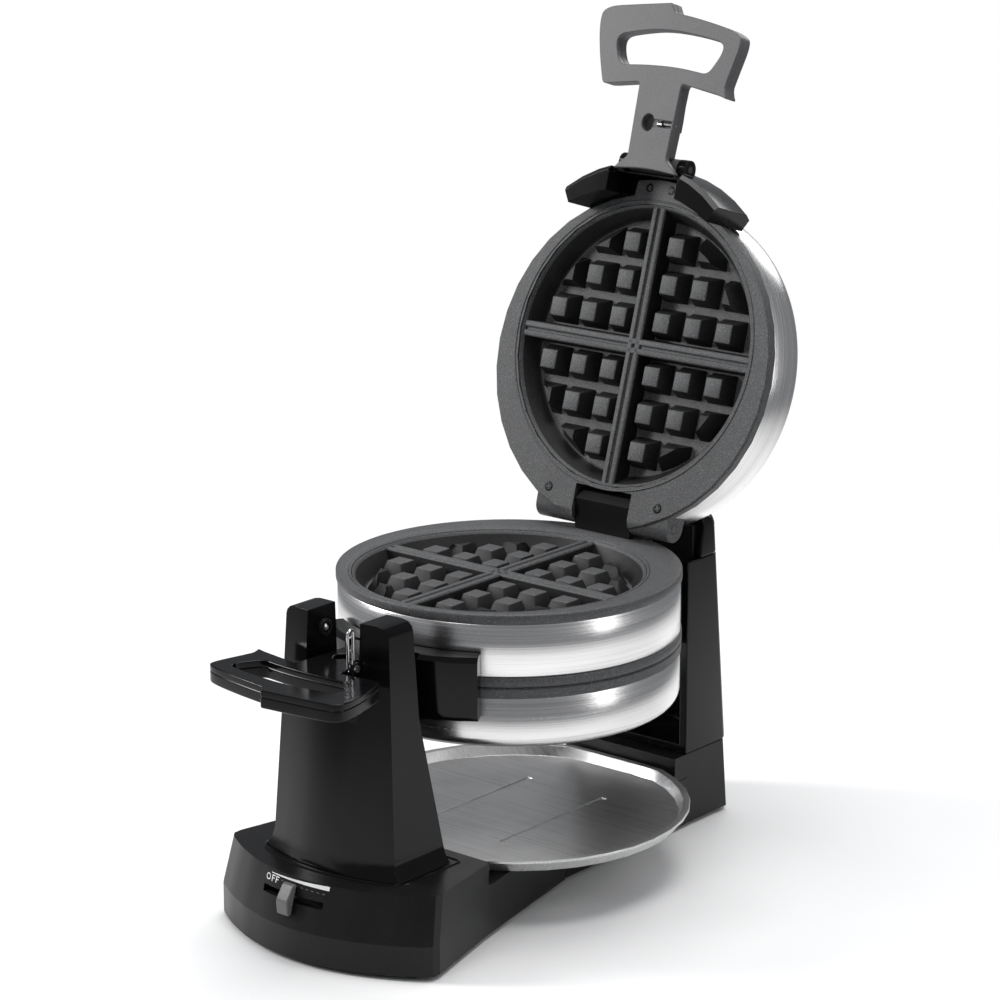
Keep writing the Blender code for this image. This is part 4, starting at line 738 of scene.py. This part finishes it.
def on_slope(side, height, lift=0.0):
    """The nose's front is curved, so a point follows its sweep from the middle to the corner."""
    share = side / 0.0885
    sweep = 0.0325 * share * share
    rise = (height - SLOPE_LOW.z) / (SLOPE_HIGH.z - SLOPE_LOW.z)
    base = SLOPE_LOW.lerp(SLOPE_HIGH, rise)
    return base + Vector((side, sweep, 0.0)) + SLOPE_OUT * lift


def printed(name, outlines, paint=PRINT_WHITE):
    maker = bmesh.new()
    for outline in outlines:
        top = [maker.verts.new(on_slope(x, z, -0.00020)) for x, z in outline]
        maker.faces.new(top)
    bmesh.ops.triangulate(maker, faces=maker.faces)
    return place_piece(name, maker, paint, "base")


def stroke_ring(x, z, half_wide, half_high, thick, start, end, steps=16):
    quads = []
    for k in range(steps):
        a, b = (math.radians(start + (end - start) * i / steps) for i in (k, k + 1))
        quads.append([(x + half_wide * math.cos(a), z + half_high * math.sin(a)),
                      (x + half_wide * math.cos(b), z + half_high * math.sin(b)),
                      (x + (half_wide - thick) * math.cos(b), z + (half_high - thick) * math.sin(b)),
                      (x + (half_wide - thick) * math.cos(a), z + (half_high - thick) * math.sin(a))])
    return quads


def bar(x0, z0, x1, z1):
    return [(x0, z0), (x1, z0), (x1, z1), (x0, z1)]


letters = stroke_ring(-0.0258, 0.0472, 0.0021, 0.0020, 0.0006, 0, 360)
for left in (-0.0223, -0.0185):
    letters += [bar(left, 0.0452, left + 0.0007, 0.0492), bar(left, 0.0486, left + 0.0030, 0.0492),
                bar(left, 0.0470, left + 0.0024, 0.0476)]
printed("word_off", letters)
wedge = []
for k in range(24):
    ends = []
    for share in (k / 24, (k + 1) / 24):
        ends.append((-0.0235 + 0.0480 * share, 0.0500 - 0.0005 * share, 0.0504 + 0.0017 * share))
    (xa, la, ha), (xb, lb, hb) = ends
    wedge.append([(xa, la), (xb, lb), (xb, hb), (xa, ha)])
printed("scale_wedge", wedge)
marks = [bar(-0.0135 + 0.0042 * k, 0.0478 - 0.00012 * k, -0.0116 + 0.0042 * k, 0.0482 - 0.00012 * k)
         for k in range(9)]
printed("scale_marks", marks, KNOB_GREY)


# Raised lip of the channel round the foot of the pillar
def deck_lip():
    maker = bmesh.new()
    path = softened([(-0.0592, -0.0960, 0.004), (-0.0586, -0.1520, 0.012), (-0.0400, -0.1625, 1.0), (0.0, -0.1680, 1.0),
                     (0.0400, -0.1625, 1.0), (0.0586, -0.1520, 0.012), (0.0592, -0.0960, 0.004)])
    path = [point for i, point in enumerate(path) if i == 0 or (Vector(point) - Vector(path[i - 1])).length > 0.0002]
    rows = []
    for i, (x, y) in enumerate(path):
        before, after = path[i - 1], path[(i + 1) % len(path)]
        run = (Vector(after) - Vector(before)).normalized()
        side = Vector((run.y, -run.x))
        rows.append([maker.verts.new((x + side.x * w, y + side.y * w, 0.0525 + h)) for w, h in
                     ((-0.0009, -0.0002), (-0.0006, 0.0005), (0.0, 0.0007), (0.0006, 0.0005), (0.0009, -0.0002))])
    for near, far in zip(rows, rows[1:] + rows[:1]):
        for k in range(4):
            maker.faces.new((near[k], near[k + 1], far[k + 1], far[k]))
    return place_piece("deck_lip", maker, GLOSS_BLACK, "base")


deck_lip()


# Backdrop: a soft studio level that lights the object, and plain white where the camera sees past it
world = bpy.data.worlds.new("studio")
world.use_nodes = True
bpy.context.scene.world = world
sky = world.node_tree
soft = sky.nodes["Background"]
soft.inputs["Color"].default_value = (0.93, 0.95, 1.0, 1.0)
soft.inputs["Strength"].default_value = 0.22
white = sky.nodes.new("ShaderNodeBackground")
white.inputs["Color"].default_value = (1.0, 1.0, 1.0, 1.0)
white.inputs["Strength"].default_value = 1.0
path = sky.nodes.new("ShaderNodeLightPath")
seen = sky.nodes.new("ShaderNodeMath")
seen.operation = "MAXIMUM"
sky.links.new(path.outputs["Is Camera Ray"], seen.inputs[0])
sky.links.new(path.outputs["Is Transmission Ray"], seen.inputs[1])
blend = sky.nodes.new("ShaderNodeMixShader")
sky.links.new(seen.outputs[0], blend.inputs[0])
sky.links.new(soft.outputs[0], blend.inputs[1])
sky.links.new(white.outputs[0], blend.inputs[2])
sky.links.new(blend.outputs[0], sky.nodes["World Output"].inputs["Surface"])

bpy.ops.mesh.primitive_plane_add(size=3.0, location=(0.0, 0.0, 0.0))
floor = bpy.context.active_object
floor.name = "studio_floor"
floor_paint = bpy.data.materials.new("studio_floor")
floor_paint.use_nodes = True
floor_shader = floor_paint.node_tree.nodes["Principled BSDF"]
floor_shader.inputs["Base Color"].default_value = (0.93, 0.93, 0.93, 1.0)
floor_shader.inputs["Roughness"].default_value = 0.5
floor_shader.inputs["Specular IOR Level"].default_value = 0.1
floor.data.materials.append(floor_paint)
# The floor fades into the white background away from the object, and keeps the shadow
floor_tree = floor_paint.node_tree
reach = floor_tree.nodes.new("ShaderNodeVectorMath")
reach.operation = "LENGTH"
floor_tree.links.new(floor_tree.nodes.new("ShaderNodeTexCoord").outputs["Object"], reach.inputs[0])
fade = floor_tree.nodes.new("ShaderNodeMapRange")
fade.interpolation_type = "SMOOTHSTEP"
for pin, value in (("From Min", 0.35), ("From Max", 1.15), ("To Min", 1.0), ("To Max", 0.0)):
    fade.inputs[pin].default_value = value
floor_tree.links.new(reach.outputs["Value"], fade.inputs["Value"])
floor_tree.links.new(fade.outputs["Result"], floor_shader.inputs["Alpha"])


def soft_lamp(name, place, aim, size, power):
    lamp = bpy.data.lights.new(name, "AREA")
    lamp.shape = "RECTANGLE"
    lamp.size, lamp.size_y = size
    lamp.energy = power
    holder = bpy.data.objects.new(name, lamp)
    bpy.context.scene.collection.objects.link(holder)
    holder.location = place
    holder.rotation_euler = (Vector(aim) - Vector(place)).to_track_quat("-Z", "Y").to_euler()
    return holder


soft_lamp("key_left", (-1.9, -1.3, 1.3), (0.0, 0.0, 0.2), (0.45, 1.3), 46.0)
soft_lamp("key_front", (0.1, -2.2, 1.9), (0.0, 0.0, 0.25), (0.8, 0.8), 6.0)
soft_lamp("fill_right", (2.0, 0.5, 1.0), (0.0, 0.0, 0.2), (0.5, 1.9), 9.0)
soft_lamp("top", (0.0, 0.3, 2.3), (0.0, 0.0, 0.2), (1.7, 1.4), 40.0)
soft_lamp("back", (-0.4, 2.2, 1.4), (0.0, 0.0, 0.3), (1.6, 0.9), 12.0)

bpy.context.scene.view_settings.view_transform = "Standard"

# Camera at the photograph's angle
lens = bpy.data.cameras.new("camera")
lens.sensor_width = 36.0
lens.lens = 120.78
lens.clip_end = 60.0
camera = bpy.data.objects.new("camera", lens)
bpy.context.scene.collection.objects.link(camera)
aim = Vector((-0.01117, 0.02583, 0.24769))
azimuth, elevation, distance = math.radians(39.76), math.radians(15.05), 2.1664
back = Vector((
    math.sin(azimuth) * math.cos(elevation), -math.cos(azimuth) * math.cos(elevation), math.sin(elevation)))
camera.location = aim + back * distance
camera.rotation_euler = (-back).to_track_quat("-Z", "Y").to_euler()
bpy.context.scene.camera = camera
